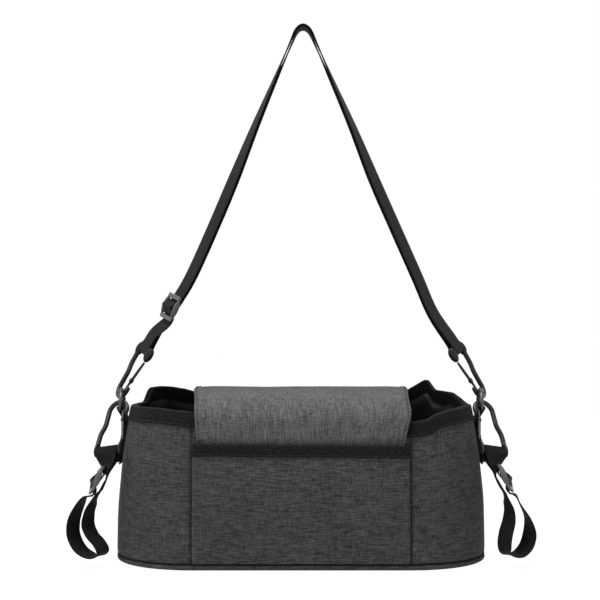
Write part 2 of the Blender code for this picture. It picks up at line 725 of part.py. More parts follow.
def make_stroller_strap(name, side, webbing):
    hook = stroller_frame(side)
    slider = stroller_slider_frame(side)
    loop = LEFT_LOOP if side == LEFT else RIGHT_LOOP
    stations = [(slider.at(v, w), slider.u) for v, w in SEWN]
    stations.append((hook.at(-0.008, 0.0024), hook.u))
    stations += bar_turn(hook, 1.0)
    stations.append((hook.at(-0.008, -0.0032), hook.u))
    for v, w in ((SLIDER_PITCH, -0.0082), (0.0, -0.0084), (-SLIDER_PITCH, -0.0078)):
        stations.append((slider.at(v, w), slider.u))
    for x, y, z, lean in reversed(loop):
        place = slider.origin + Vector((x, y, z))
        stations.append((place, (lean, -math.sqrt(1.0 - lean * lean), 0.0)))
    stations.append((slider.at(-SLIDER_PITCH - 0.005, -UNDER), slider.u))
    stations += [(slider.at(v, w), slider.u) for v, w in THROUGH]
    stations.append((slider.at(SLIDER_PITCH + 0.005, -UNDER), slider.u))
    add_object(name, ribbon_mesh(name, stations), webbing)


def place_copy(name, mesh, frame, material):
    obj = add_object(name, mesh.copy(), material)
    obj.matrix_world = frame.matrix()
    return obj


def place_gate(name, mesh, frame, material):
    """A gate's origin lies on its hinge, so its mesh is moved to suit."""
    pivot = Vector((*GATE_PIVOT, 0.0))
    own = mesh.copy()
    own.transform(Matrix.Translation(-pivot))
    obj = add_object(name, own, material)
    obj.matrix_world = frame.matrix() @ Matrix.Translation(pivot)
    return obj


def shade(obj):
    obj.data.shade_smooth()
    obj.data.set_sharp_from_angle(angle=math.radians(35.0))


def build():
    for obj in list(bpy.data.objects):
        bpy.data.objects.remove(obj)
    collection = bpy.data.collections.new(PARTS)
    bpy.context.scene.collection.children.link(collection)

    cloth = make_material("charcoal_melange", (0.060, 0.060, 0.062), 0.90)
    lining = make_material("black_lining", (0.010, 0.010, 0.011), 0.80)
    binding = make_material("black_binding", (0.016, 0.016, 0.017), 0.85)
    webbing = make_material("black_webbing", (0.018, 0.018, 0.019), 0.80)
    plastic = make_material("dark_plastic", (0.030, 0.031, 0.033), 0.35)
    slide = make_material("grey_plastic", (0.055, 0.056, 0.058), 0.40)
    ring = make_material("ring_steel", (0.120, 0.122, 0.125), 0.30, 1.0)
    board = make_material("fibre_board", (0.150, 0.140, 0.120), 0.90)

    make_base(cloth, board, binding)
    make_tub(cloth, lining)
    make_rim_binding(binding)
    make_pocket(cloth, binding)
    make_flap(cloth)
    make_dividers(lining)
    for word, side in (("left", LEFT), ("right", RIGHT)):
        make_tab(f"ring_tab_{word}", side, webbing)
        make_ring(f"d_ring_{word}", side, ring)
    make_shoulder_strap(webbing)
    slider = slider_mesh()
    place_copy("shoulder_slider", slider, shoulder_slider_frame(), slide)
    hook, gate = hook_mesh(), gate_mesh()
    for word, side in (("left", LEFT), ("right", RIGHT)):
        place_copy(f"shoulder_hook_{word}", hook, shoulder_frame(side), plastic)
        place_gate(f"shoulder_gate_{word}", gate, shoulder_frame(side), plastic)
        place_copy(f"stroller_hook_{word}", hook, stroller_frame(side), plastic)
        place_gate(f"stroller_gate_{word}", gate, stroller_frame(side), plastic)
        place_copy(f"stroller_slider_{word}", slider, stroller_slider_frame(side), slide)
        make_stroller_strap(f"stroller_strap_{word}", side, webbing)
    for obj in collection.objects:
        shade(obj)


build()
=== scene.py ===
import math

import bmesh
import bpy
import numpy as np
from mathutils import Matrix, Vector, noise


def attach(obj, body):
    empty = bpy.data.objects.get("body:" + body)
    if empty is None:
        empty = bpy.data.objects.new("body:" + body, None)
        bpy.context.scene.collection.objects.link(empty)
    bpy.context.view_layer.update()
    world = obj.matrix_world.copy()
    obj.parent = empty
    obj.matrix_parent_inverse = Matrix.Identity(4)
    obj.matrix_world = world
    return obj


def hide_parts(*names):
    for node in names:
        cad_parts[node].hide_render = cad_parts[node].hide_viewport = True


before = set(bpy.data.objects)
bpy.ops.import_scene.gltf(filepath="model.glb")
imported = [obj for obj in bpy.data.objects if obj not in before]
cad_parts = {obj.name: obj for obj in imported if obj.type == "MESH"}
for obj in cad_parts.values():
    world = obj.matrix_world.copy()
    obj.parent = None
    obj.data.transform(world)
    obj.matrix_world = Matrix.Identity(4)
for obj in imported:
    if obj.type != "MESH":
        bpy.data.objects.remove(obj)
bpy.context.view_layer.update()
print("frame loaded")

left, right = -1.0, 1.0
bothSides = (("left", left), ("right", right))


# Shader nodes

def addNode(tree, kind, **values):
    node = tree.nodes.new(kind)
    for key, value in values.items():
        setattr(node, key, value)
    return node


def mathNode(tree, operation, first, second=None, third=None):
    node = addNode(tree, "ShaderNodeMath", operation=operation)
    for index, value in enumerate((first, second, third)):
        if value is None:
            continue
        if isinstance(value, (int, float)):
            node.inputs[index].default_value = value
        else:
            tree.links.new(value, node.inputs[index])
    return node.outputs[0]


def newMaterial(name):
    material = bpy.data.materials.new(name)
    material.use_nodes = True
    tree = material.node_tree
    return material, tree, tree.nodes["Principled BSDF"]


# Camera, light and floor

studio = {"lens": 90.0, "sensor": 36.0, "distance": 1.5, "cameraHeight": 0.257,
          "cameraSide": -0.001, "worldLight": 0.36, "floorTone": 0.86, "floorSize": 12.0,
          "floorZ": -0.0004, "glow": 1.10, "glowShare": 0.86}
# Each lamp's place, the point that it faces, its width and its power
lamps = {"keyLamp": ((-1.3, -1.1, 1.5), (0.0, 0.0, 0.15), 1.0, 9.0),
         "topLamp": ((-0.2, -0.32, 1.7), (0.0, 0.0, 0.1), 1.0, 29.0),
         "fillLamp": ((1.5, -1.2, 0.7), (0.0, 0.0, 0.15), 1.2, 1.0)}


def addArea(name, place, target, size, power):
    bpy.ops.object.light_add(type="AREA", location=place)
    lamp = bpy.context.object
    lamp.name = name
    lamp.data.shape = "DISK"
    lamp.data.size = size
    lamp.data.energy = power
    aim = Vector(target) - Vector(place)
    lamp.rotation_euler = aim.to_track_quat("-Z", "Y").to_euler()


def whiteForCamera(tree):
    # one where the camera, a reflection or glass looks, so that they see plain white
    path = addNode(tree, "ShaderNodeLightPath")
    seen = mathNode(tree, "MAXIMUM", path.outputs["Is Camera Ray"], path.outputs["Is Glossy Ray"])
    return mathNode(tree, "MAXIMUM", seen, path.outputs["Is Transmission Ray"])


def makeStudio():
    scene = bpy.context.scene
    scene.view_settings.view_transform = "Standard"
    bpy.ops.object.camera_add(
        location=(studio["cameraSide"], -studio["distance"], studio["cameraHeight"]),
        rotation=(math.pi / 2.0, 0.0, 0.0))
    camera = bpy.context.object
    camera.data.lens = studio["lens"]
    camera.data.sensor_width = studio["sensor"]
    scene.camera = camera

    for name, lamp in lamps.items():
        addArea(name, *lamp)

    world = bpy.data.worlds.new("paleRoom")
    scene.world = world
    world.use_nodes = True
    tree = world.node_tree
    background = tree.nodes["Background"]
    mix = addNode(tree, "ShaderNodeMix", data_type="FLOAT")
    mix.inputs["A"].default_value = studio["worldLight"]
    mix.inputs["B"].default_value = 1.0
    tree.links.new(whiteForCamera(tree), mix.inputs["Factor"])
    tree.links.new(mix.outputs["Result"], background.inputs["Strength"])
    background.inputs["Color"].default_value = (1.0, 1.0, 1.0, 1.0)

    bpy.ops.mesh.primitive_plane_add(size=studio["floorSize"],
                                     location=(0.0, 0.0, studio["floorZ"]))
    floor = bpy.context.object
    floor.name = "paleFloor"
    material, tree, plain = newMaterial("floorPaper")
    plain.inputs["Base Color"].default_value = (studio["floorTone"],) * 3 + (1.0,)
    plain.inputs["Roughness"].default_value = 0.95
    plain.inputs["Specular IOR Level"].default_value = 0.1
    glow = addNode(tree, "ShaderNodeEmission")
    glow.inputs["Strength"].default_value = studio["glow"]
    blend = addNode(tree, "ShaderNodeMixShader")
    shade = mathNode(tree, "MULTIPLY", whiteForCamera(tree), studio["glowShare"])
    tree.links.new(shade, blend.inputs["Fac"])
    tree.links.new(plain.outputs[0], blend.inputs[1])
    tree.links.new(glow.outputs[0], blend.inputs[2])
    tree.links.new(blend.outputs[0], tree.nodes["Material Output"].inputs["Surface"])
    floor.data.materials.append(material)
    print("studio ready")


# Materials. Cloth reads the piece's own UV map, in metres, so the weave follows the surface.

def newGroup(name, inputs, outputs):
    group = bpy.data.node_groups.new(name, "ShaderNodeTree")
    for label, kind, value in inputs:
        socket = group.interface.new_socket(name=label, in_out="INPUT", socket_type=kind)
        if value is not None:
            socket.default_value = value
    for label, kind in outputs:
        group.interface.new_socket(name=label, in_out="OUTPUT", socket_type=kind)
    return group, group.nodes.new("NodeGroupInput"), group.nodes.new("NodeGroupOutput")


def noiseTone(tree, vector, detail, scale=1.0):
    texture = addNode(tree, "ShaderNodeTexNoise")
    texture.inputs["Scale"].default_value = scale
    texture.inputs["Detail"].default_value = detail
    tree.links.new(vector, texture.inputs["Vector"])
    return texture.outputs["Fac"]


def stretchedNoise(tree, vector, across, along, detail, seed):
    # noise drawn out into streaks: across and along are sizes in metres
    mapping = addNode(tree, "ShaderNodeMapping")
    mapping.inputs["Location"].default_value = (seed, seed * 0.37, 0.0)
    mapping.inputs["Scale"].default_value = (1.0 / along, 1.0 / across, 1.0)
    tree.links.new(vector, mapping.inputs["Vector"])
    return noiseTone(tree, mapping.outputs["Vector"], detail)


def yarnTone(tree, along, across, pitch, length, seed):
    # one yarn per pitch, each with its own slubs along its run
    row = mathNode(tree, "FLOOR", mathNode(tree, "DIVIDE", across, pitch))
    place = addNode(tree, "ShaderNodeCombineXYZ")
    tree.links.new(mathNode(tree, "MULTIPLY_ADD", along, 1.0 / length, seed), place.inputs["X"])
    tree.links.new(mathNode(tree, "MULTIPLY", row, melange["yarnApart"]), place.inputs["Y"])
    return noiseTone(tree, place.outputs[0], melange["slubDetail"]), row


# Length of the slubs, how much each noise adds to the tone, and the contrast of the whole
melange = {"weftSlub": 0.0105, "warpSlub": 0.0060, "weftSeed": 3.1, "warpSeed": 41.7,
           "yarnApart": 7.31, "slubDetail": 0.6, "lean": 0.28, "leanStep": 0.26,
           "fine": 0.22, "yarns": 0.74, "broad": 0.04, "contrast": 4.0, "relief": 0.20}


def melangeGroup():
    # plain weave of mottled yarns: every warp and weft yarn has its own light and dark slubs
    group, inside, outside = newGroup(
        "melangeWeave",
        [("Vector", "NodeSocketVector", None), ("Thread", "NodeSocketFloat", 0.0009),
         ("Slub", "NodeSocketFloat", 1.0)],
        [("Tone", "NodeSocketFloat"), ("Height", "NodeSocketFloat")])
    vector, thread = inside.outputs["Vector"], inside.outputs["Thread"]
    split = addNode(group, "ShaderNodeSeparateXYZ")
    group.links.new(vector, split.inputs[0])
    x, y = split.outputs["X"], split.outputs["Y"]
    weft, row = yarnTone(group, x, y, thread, melange["weftSlub"], melange["weftSeed"])
    warp, column = yarnTone(group, y, x, thread, melange["warpSlub"], melange["warpSeed"])
    over = mathNode(group, "PINGPONG", mathNode(group, "ADD", row, column), 1.0)
    crossed = addNode(group, "ShaderNodeMix", data_type="FLOAT")
    lean = mathNode(group, "MULTIPLY_ADD", over, melange["leanStep"], melange["lean"])
    group.links.new(lean, crossed.inputs["Factor"])
    group.links.new(weft, crossed.inputs["A"])
    group.links.new(warp, crossed.inputs["B"])
    fine = stretchedNoise(group, vector, 0.0007, 0.0009, 1.0, 23.9)
    broad = stretchedNoise(group, vector, 0.020, 0.026, 2.0, 5.3)
    yarns = mathNode(group, "MULTIPLY", crossed.outputs["Result"], melange["yarns"])
    total = mathNode(group, "MULTIPLY_ADD", fine, melange["fine"], yarns)
    total = mathNode(group, "MULTIPLY_ADD", broad, melange["broad"], total)
    centred = mathNode(group, "SUBTRACT", total, 0.5)
    contrast = mathNode(group, "MULTIPLY", inside.outputs["Slub"], melange["contrast"])
    tone = addNode(group, "ShaderNodeClamp")
    spread = mathNode(group, "MULTIPLY_ADD", centred, contrast, 0.5)
    group.links.new(spread, tone.inputs["Value"])
    group.links.new(tone.outputs[0], outside.inputs["Tone"])
    height = mathNode(group, "MULTIPLY_ADD", over, melange["relief"], total)
    group.links.new(height, outside.inputs["Height"])
    return group


# How much the ribs, the chevron and the dust each add to the tone and the relief of tape
ribbed = {"chevron": 1.6, "pick": 0.35, "rib": 0.65, "dust": 2.6, "dustMiddle": 2.45, "weave": 0.60}


def ribGroup():
    # woven tape and webbing: ribs across, a chevron of fine threads and a dusty tone
    group, inside, outside = newGroup(
        "wovenRibs",
        [("Vector", "NodeSocketVector", None), ("Rib", "NodeSocketFloat", 0.0022),
         ("Pick", "NodeSocketFloat", 0.0012)],
        [("Tone", "NodeSocketFloat"), ("Height", "NodeSocketFloat")])
    vector = inside.outputs["Vector"]
    split = addNode(group, "ShaderNodeSeparateXYZ")
    group.links.new(vector, split.inputs[0])
    turns = 2.0 * math.pi
    ribScale = mathNode(group, "DIVIDE", turns, inside.outputs["Rib"])
    pickScale = mathNode(group, "DIVIDE", turns, inside.outputs["Pick"])
    rib = mathNode(group, "SINE", mathNode(group, "MULTIPLY", split.outputs["Y"], ribScale))
    slant = mathNode(group, "ABSOLUTE", rib)
    along = mathNode(group, "MULTIPLY", split.outputs["X"], pickScale)
    pick = mathNode(group, "SINE", mathNode(group, "MULTIPLY_ADD", slant, ribbed["chevron"], along))
    ribs = mathNode(group, "MULTIPLY", slant, ribbed["rib"])
    height = mathNode(group, "MULTIPLY_ADD", pick, ribbed["pick"], ribs)
    grain = stretchedNoise(group, vector, 0.0010, 0.0040, 3.0, 9.2)
    speck = stretchedNoise(group, vector, 0.0008, 0.0010, 1.0, 17.4)
    specks = mathNode(group, "MULTIPLY", speck, ribbed["dust"])
    dusty = mathNode(group, "MULTIPLY_ADD", grain, ribbed["dust"], specks)
    dust = mathNode(group, "SUBTRACT", dusty, ribbed["dustMiddle"])
    tone = mathNode(group, "MULTIPLY_ADD", height, ribbed["weave"], dust)
    group.links.new(tone, outside.inputs["Tone"])
    group.links.new(height, outside.inputs["Height"])
    return group


def toneColour(tree, tone, dark, light):
    mix = addNode(tree, "ShaderNodeMix", data_type="RGBA")
    tree.links.new(tone, mix.inputs["Factor"])
    mix.inputs["A"].default_value = (*dark, 1.0)
    mix.inputs["B"].default_value = (*light, 1.0)
    return mix.outputs["Result"]


def addBump(tree, shader, height, strength, distance):
    bump = addNode(tree, "ShaderNodeBump")
    bump.inputs["Strength"].default_value = strength
    bump.inputs["Distance"].default_value = distance
    tree.links.new(height, bump.inputs["Height"])
    tree.links.new(bump.outputs["Normal"], shader.inputs["Normal"])


# Each cloth: its darkest and lightest tone, its shine, its relief and its weave's own sizes
topThread = {"Thread": 0.00075, "Slub": 1.0}
cloths = {
    "cloth": {"name": "charcoalMelange", "weave": "melangeWeave", "sockets": topThread,
              "dark": (0.0165, 0.0165, 0.017), "light": (0.076, 0.077, 0.079),
              "roughness": 0.92, "specular": 0.12, "sheen": 0.04, "bump": 0.30, "depth": 0.0004},
    # the flap's cloth is the body's melange painted about twice as light: painted light from the
    # top lamp, not a different cloth
    "litFlapCloth": {"name": "litFlapMelange", "weave": "melangeWeave", "sockets": topThread,
                 "dark": (0.038, 0.038, 0.0388), "light": (0.133, 0.134, 0.137),
                 "roughness": 0.92, "specular": 0.12, "sheen": 0.04, "bump": 0.30, "depth": 0.0004},
    "lining": {"name": "blackLining", "weave": "melangeWeave",
               "sockets": {"Thread": 0.0005, "Slub": 0.5},
               "dark": (0.006, 0.006, 0.0065), "light": (0.026, 0.026, 0.027),
               "roughness": 0.45, "specular": 0.25, "sheen": 0.02, "bump": 0.15, "depth": 0.0002},
    "tape": {"name": "blackTape", "weave": "wovenRibs", "sockets": {"Rib": 0.0024, "Pick": 0.0011},
             "dark": (0.001, 0.001, 0.0012), "light": (0.019, 0.019, 0.020),
             "roughness": 0.85, "specular": 0.08, "sheen": 0.02, "bump": 0.40, "depth": 0.0003},
    "webbing": {"name": "blackWebbing", "weave": "wovenRibs",
                "sockets": {"Rib": 0.0042, "Pick": 0.0016},
                "dark": (0.001, 0.001, 0.0012), "light": (0.0125, 0.0125, 0.0130),
                "roughness": 0.70, "specular": 0.08, "sheen": 0.02, "bump": 0.50, "depth": 0.0004},
}
# Each smooth material: its name, tone, roughness and whether it is metal
smooths = {
    "plastic": ("hookPlastic", (0.006, 0.0063, 0.0066), 0.34, 0.0),
    "slider": ("sliderPlastic", (0.062, 0.064, 0.066), 0.40, 0.0),
    "ring": ("gunmetal", (0.075, 0.077, 0.080), 0.38, 1.0),
    "thread": ("sewingThread", (0.013, 0.013, 0.0135), 0.75, 0.0),
    # near-black thread for the flap's stitches; the side seams use it as painted shade of the seam
    # valley as well
    "darkThreadAndSeamShade": ("darkThreadAndSeamShade", (0.006, 0.006, 0.0065), 0.80, 0.0),
    "board": ("greyBoard", (0.15, 0.14, 0.12), 0.85, 0.0),
}
rubbed = {"grain": 0.00035, "patch": 1.0 / 180.0, "dark": 0.75, "light": 1.35, "rough": 0.18,
          "specular": 0.35, "bump": 0.12, "depth": 0.0001}


def clothMaterial(cloth, groups):
    material, tree, shader = newMaterial(cloth["name"])
    place = addNode(tree, "ShaderNodeUVMap", uv_map="clothMap")
    weave = addNode(tree, "ShaderNodeGroup", node_tree=groups[cloth["weave"]])
    for label, value in cloth["sockets"].items():
        weave.inputs[label].default_value = value
    tree.links.new(place.outputs["UV"], weave.inputs["Vector"])
    tone = toneColour(tree, weave.outputs["Tone"], cloth["dark"], cloth["light"])
    tree.links.new(tone, shader.inputs["Base Color"])
    shader.inputs["Roughness"].default_value = cloth["roughness"]
    shader.inputs["Specular IOR Level"].default_value = cloth["specular"]
    shader.inputs["Sheen Weight"].default_value = cloth["sheen"]
    shader.inputs["Sheen Roughness"].default_value = 0.5
    addBump(tree, shader, weave.outputs["Height"], cloth["bump"], cloth["depth"])
    return material


def smoothMaterial(name, tone, roughness, metallic):
    # moulded or plated: a fine grain and slightly rubbed patches, on Object coordinates
    material, tree, shader = newMaterial(name)
    place = addNode(tree, "ShaderNodeTexCoord").outputs["Object"]
    fine = noiseTone(tree, place, 2.0, 1.0 / rubbed["grain"])
    patch = noiseTone(tree, place, 3.0, 1.0 / rubbed["patch"])
    dark = tuple(channel * rubbed["dark"] for channel in tone)
    light = tuple(channel * rubbed["light"] for channel in tone)
    tree.links.new(toneColour(tree, patch, dark, light), shader.inputs["Base Color"])
    plain = roughness - rubbed["rough"] / 2.0
    rough = mathNode(tree, "MULTIPLY_ADD", patch, rubbed["rough"], plain)
    tree.links.new(rough, shader.inputs["Roughness"])
    shader.inputs["Metallic"].default_value = metallic
    shader.inputs["Specular IOR Level"].default_value = rubbed["specular"]
    addBump(tree, shader, fine, rubbed["bump"], rubbed["depth"])
    return material


def makeMaterials():
    groups = {"melangeWeave": melangeGroup(), "wovenRibs": ribGroup()}
    made = {look: clothMaterial(cloth, groups) for look, cloth in cloths.items()}
    made.update({look: smoothMaterial(*values) for look, values in smooths.items()})
    print("materials ready")
    return made


# Building blocks for sewn pieces: a loft joins closed sections and carries a UV map in metres

def loft(name, sections, closed=False, mapColumn=0):
    points = np.array([[tuple(point) for point in section] for section in sections])
    rows, columns = points.shape[:2]
    around = np.linalg.norm(np.roll(points, -1, axis=1) - points, axis=2).mean(axis=0)
    across = np.concatenate([[0.0], np.cumsum(around)])
    wrapped = np.concatenate([points, points[:1]]) if closed else points
    steps = np.linalg.norm(np.diff(wrapped[:, mapColumn], axis=0), axis=1)
    along = np.concatenate([[0.0], np.cumsum(steps)])
    faces, corners = [], []
    for row in range(rows if closed else rows - 1):
        after = (row + 1) % rows
        for column in range(columns):
            side = (column + 1) % columns
            faces.append((row * columns + column, row * columns + side,
                          after * columns + side, after * columns + column))
            corners += [(along[row], across[column]), (along[row], across[column + 1]),
                        (along[row + 1], across[column + 1]), (along[row + 1], across[column])]
    if not closed:
        faces.append(tuple(reversed(range(columns))))
        corners += [(along[0], across[column]) for column in reversed(range(columns))]
        faces.append(tuple(range((rows - 1) * columns, rows * columns)))
        corners += [(along[-1], across[column]) for column in range(columns)]
    return meshPiece(name, points.reshape(-1, 3), faces, corners)


def meshPiece(name, points, faces, corners=None):
    mesh = bpy.data.meshes.new(name)
    mesh.from_pydata([tuple(point) for point in points], [], faces)
    layer = mesh.uv_layers.new(name="clothMap")
    if corners is not None:
        layer.data.foreach_set("uv", np.array(corners, dtype=np.float32).ravel())
    piece = bpy.data.objects.new(name, mesh)
    bpy.context.scene.collection.objects.link(piece)
    bm = bmesh.new()
    bm.from_mesh(mesh)
    bmesh.ops.recalc_face_normals(bm, faces=bm.faces)
    if bm.calc_volume(signed=True) < 0.0:
        bmesh.ops.reverse_faces(bm, faces=bm.faces)
    bm.to_mesh(mesh)
    bm.free()
    return piece


def dress(piece, look, nodes=(), body="bag", smooth=40.0):
    piece.data.materials.clear()
    piece.data.materials.append(looks[look])
    piece.data.shade_smooth()
    piece.data.set_sharp_from_angle(angle=math.radians(smooth))
    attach(piece, body)
    if nodes:
        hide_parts(*nodes)
    return piece


def applyModifier(piece, kind, **settings):
    selectOnly(piece)
    modifier = piece.modifiers.new(kind, kind)
    for key, value in settings.items():
        setattr(modifier, key, value)
    bpy.ops.object.modifier_apply(modifier=modifier.name)


def selectOnly(piece):
    bpy.ops.object.select_all(action="DESELECT")
    piece.select_set(True)
    bpy.context.view_layer.objects.active = piece


def clamp01(value):
    return max(0.0, min(1.0, value))


def smooth01(value):
    value = clamp01(value)
    return value * value * (3.0 - 2.0 * value)


def hump(value, centre, reach):
    return math.exp(-((value - centre) / reach) ** 2)


def roundEdge(inset, reach):
    return math.sqrt(clamp01(1.0 - (1.0 - clamp01(inset / reach)) ** 2))


def ripple(x, y, z=0.0):
    return noise.noise(Vector((x, y, z)))


def heading(points, index):
    # the way a line runs at one of its points
    ahead = points[min(index + 1, len(points) - 1)]
    return (ahead - points[max(index - 1, 0)]).normalized()


# The tub: a stadium in plan whose walls lean in towards the rim

tub = {"halfStraight": 0.104, "baseRadius": 0.079, "meanRadius": 0.073, "rimLean": 0.0145,
       "leanPower": 2.5, "rimHeight": 0.154, "wall": 0.0035, "gap": 0.0004, "liningThick": 0.001,
       "tape": 0.001, "backRise": 0.0075, "wallBottom": 0.0069, "rimBlur": 0.0007,
       "rimLoose": 0.0006, "endFrom": 0.136, "endOver": 0.014,
       "straightSteps": 84, "endSteps": 124, "levels": 62}


# Heights and reaches of the waves, puckers and seams that the sewing leaves in the wall
relief = {"wave": 0.0008, "waveFoot": 0.004, "waveRise": 0.03, "fine": 0.45, "endFrom": 0.140,
          "endOver": 0.018, "endZ": 0.11, "endRise": 0.02, "pucker": 0.00045, "puckerFrom": 0.013,
          "puckerReach": 0.012, "dent": 0.0005, "dentFrom": 0.02, "groove": 0.0022,
          "grooveAt": 0.0004, "grooveWide": 0.0012, "puff": 0.0005, "puffAt": 0.0045,
          "puffWide": 0.0022, "tuck": 0.0011, "tuckReach": 0.0012, "footPucker": 0.00035,
          "footReach": 0.008, "most": 0.0012}


def endRadius(z):
    return tub["baseRadius"] - tub["rimLean"] * (max(z, 0.0) / tub["rimHeight"]) ** tub["leanPower"]


def endX(z):
    return tub["halfStraight"] + endRadius(z)


def awayFromEnds(x, start=tub["endFrom"], reach=tub["endOver"]):
    # one along the bag, fading to nought at its two ends
    return 1.0 - smooth01((abs(x) - start) / reach)


def outlineStations(straightSteps, endSteps):
    # centre of the arc, angle, and distance round the bag
    half = math.pi / 2.0
    straight = tub["halfStraight"]
    bend = math.pi * tub["meanRadius"]
    stations = []
    for side, start in ((1.0, 0.0), (-1.0, 2.0 * straight + bend)):
        for step in range(straightSteps):
            share = step / straightSteps
            stations.append((side * straight * (2.0 * share - 1.0), -half * side,
                             start + 2.0 * straight * share))
        for step in range(endSteps):
            share = step / endSteps
            stations.append((side * straight, -half * side + math.pi * share,
                             start + 2.0 * straight + bend * share))
    return stations


def wallPoint(station, z, out):
    centre, angle, _ = station
    radius = endRadius(z) + out
    return Vector((centre + radius * math.cos(angle), radius * math.sin(angle), z))


# How far the rim stands above or below its plain height, by x, along the front and the back
rimFront = [
    (-0.1685, -0.0008), (-0.150, -0.0012), (-0.139, -0.0013), (-0.118, -0.0030),
    (-0.103, -0.0042), (-0.085, -0.0030), (-0.060, 0.0), (0.057, 0.0), (0.080, -0.0090),
    (0.100, -0.0142), (0.1077, -0.0140), (0.1214, -0.0115), (0.1248, -0.0098), (0.1282, -0.0071),
    (0.1426, -0.0036), (0.155, -0.0020), (0.161, -0.0006), (0.1685, -0.0006),
]
rimBack = [
    (-0.1685, -0.0008), (-0.1604, 0.0), (-0.1596, 0.0040), (-0.1586, 0.0120), (-0.157, 0.0138),
    (-0.148, 0.0144), (-0.135, 0.0135), (-0.122, 0.0112), (-0.111, 0.0080), (-0.106, 0.0075),
    (0.108, 0.0076), (0.114, 0.0113), (0.124, 0.0168), (0.131, 0.0205), (0.1345, 0.0205),
    (0.1375, 0.0150), (0.1405, 0.0102), (0.150, 0.0092), (0.158, 0.0084), (0.163, 0.0046),
    (0.1668, 0.0), (0.1685, -0.0006),
]


def rimAt(station):
    x, y, _ = wallPoint(station, tub["rimHeight"], 0.0)
    table = rimFront if y < 0.0 else rimBack
    places, heights = zip(*table)
    shifts = (-tub["rimBlur"], 0.0, tub["rimBlur"])
    offset = sum(float(np.interp(x + shift, places, heights)) for shift in shifts) / 3.0
    loose = tub["rimLoose"] * ripple(station[2] * 26.0, 4.0) * awayFromEnds(x)
    return tub["rimHeight"] + offset + loose


def slowWave(station, z):
    # the soft unevenness that every outer layer shares
    x, y, _ = wallPoint(station, z, 0.0)
    fade = smooth01((z - relief["waveFoot"]) / relief["waveRise"])
    fade *= 1.0 - (smooth01((abs(x) - relief["endFrom"]) / relief["endOver"])
                   * smooth01((z - relief["endZ"]) / relief["endRise"]))
    wave = ripple(x * 17.0, y * 17.0, z * 15.0)
    wave += relief["fine"] * ripple(x * 41.0, y * 41.0 + 7.0, z * 33.0)
    return relief["wave"] * wave * fade


def tubOut(station, z, rim):
    below = rim - z
    out = slowWave(station, z)
    gather = math.exp(-max(below - relief["puckerFrom"], 0.0) / relief["puckerReach"])
    out += relief["pucker"] * gather * ripple(station[2] * 130.0, below * 20.0)
    lower = smooth01((below - relief["dentFrom"]) / relief["dentFrom"])
    out += relief["dent"] * ripple(station[2] * 30.0, z * 30.0, 5.0) * lower
    if math.sin(station[1]) < -0.9:
        seam = abs(abs(wallPoint(station, z, 0.0).x) - tub["halfStraight"])
        out -= relief["groove"] * hump(seam, relief["grooveAt"], relief["grooveWide"])
        puff = relief["puff"] * hump(seam, relief["puffAt"], relief["puffWide"])
        out += puff * (0.6 + ripple(z * 190.0, 3.0))
    foot = z - tub["wallBottom"]
    out -= relief["tuck"] * math.exp(-foot / relief["tuckReach"])
    gather = relief["footPucker"] * math.exp(-foot / relief["footReach"])
    out += gather * ripple(station[2] * 110.0, 9.0)
    return out


def makeTub():
    stations = outlineStations(tub["straightSteps"], tub["endSteps"])
    sections = []
    for station in stations:
        rim = rimAt(station)
        top = rim - tub["tape"] - tub["gap"]
        outer = []
        for level in range(tub["levels"] + 1):
            share = level / tub["levels"]
            share = share - 0.35 * math.sin(2.0 * math.pi * share) / (2.0 * math.pi)
            z = tub["wallBottom"] + (top - tub["wallBottom"]) * share
            outer.append(wallPoint(station, z, min(tubOut(station, z, rim), relief["most"])))
        inner = []
        for level in range(9):
            z = top + (tub["wallBottom"] - top) * level / 8
            inner.append(wallPoint(station, z, slowWave(station, z) - tub["wall"] * 0.9))
        sections.append(outer + inner)
    piece = loft("outer_cloth", sections, closed=True, mapColumn=30)
    dress(piece, "cloth", ["body_shell"])
    print("outer cloth done")


base = {"weltZ": 0.0060, "weltRadius": 0.00075, "weltOut": -0.0009, "weltSides": 10}
# Height and distance outward of each ring of the base, from its underside up and in again
baseRings = [(0.0, -0.040), (0.0, -0.012), (0.0, -0.0045), (0.0003, -0.0024), (0.0010, -0.0010),
             (0.0020, -0.0002), (0.0034, 0.0001), (0.0044, -0.0002), (0.0051, -0.0009),
             (0.0050, -0.0018), (0.0037, -0.0022), (0.0037, -0.006)]


def makeBase():
    stations = outlineStations(48, 64)
    points, faces = [], []
    for z, out in baseRings:
        for station in stations:
            point = wallPoint(station, 0.0, out)
            points.append((point.x, point.y, z))
    count = len(stations)
    for row in range(len(baseRings) - 1):
        for index in range(count):
            after = (index + 1) % count
            faces.append((row * count + index, row * count + after,
                          (row + 1) * count + after, (row + 1) * count + index))
    faces.append(tuple(reversed(range(count))))
    faces.append(tuple(range(len(points) - count, len(points))))
    corners = []
    for face in faces:
        for vertex in face:
            ring, index = divmod(vertex, count)
            lastColumn = index == 0 and face[1] % count < face[0] % count
            around = stations[index][2] + (stations[-1][2] if lastColumn else 0.0)
            onBand = len(face) == 4 and ring > 1
            corners.append((around, points[vertex][2]) if onBand else points[vertex][:2])
    piece = meshPiece("base_cloth", points, faces, corners)
    dress(piece, "cloth", ["base_panel"])

    # black piping along the foot of the wall: a thin dark line, whose black also paints the shade
    # of the valley between wall and base
    sections = []
    for station in stations:
        ring = []
        for step in range(base["weltSides"]):
            angle = 2.0 * math.pi * step / base["weltSides"]
            z = base["weltZ"] + base["weltRadius"] * math.sin(angle)
            out = base["weltOut"] + base["weltRadius"] * math.cos(angle)
            ring.append(wallPoint(station, z, out))
        sections.append(ring)
    welt = loft("base_piping_and_shade", sections, closed=True)
    dress(welt, "tape", ["base_welt"])
    print("base done")


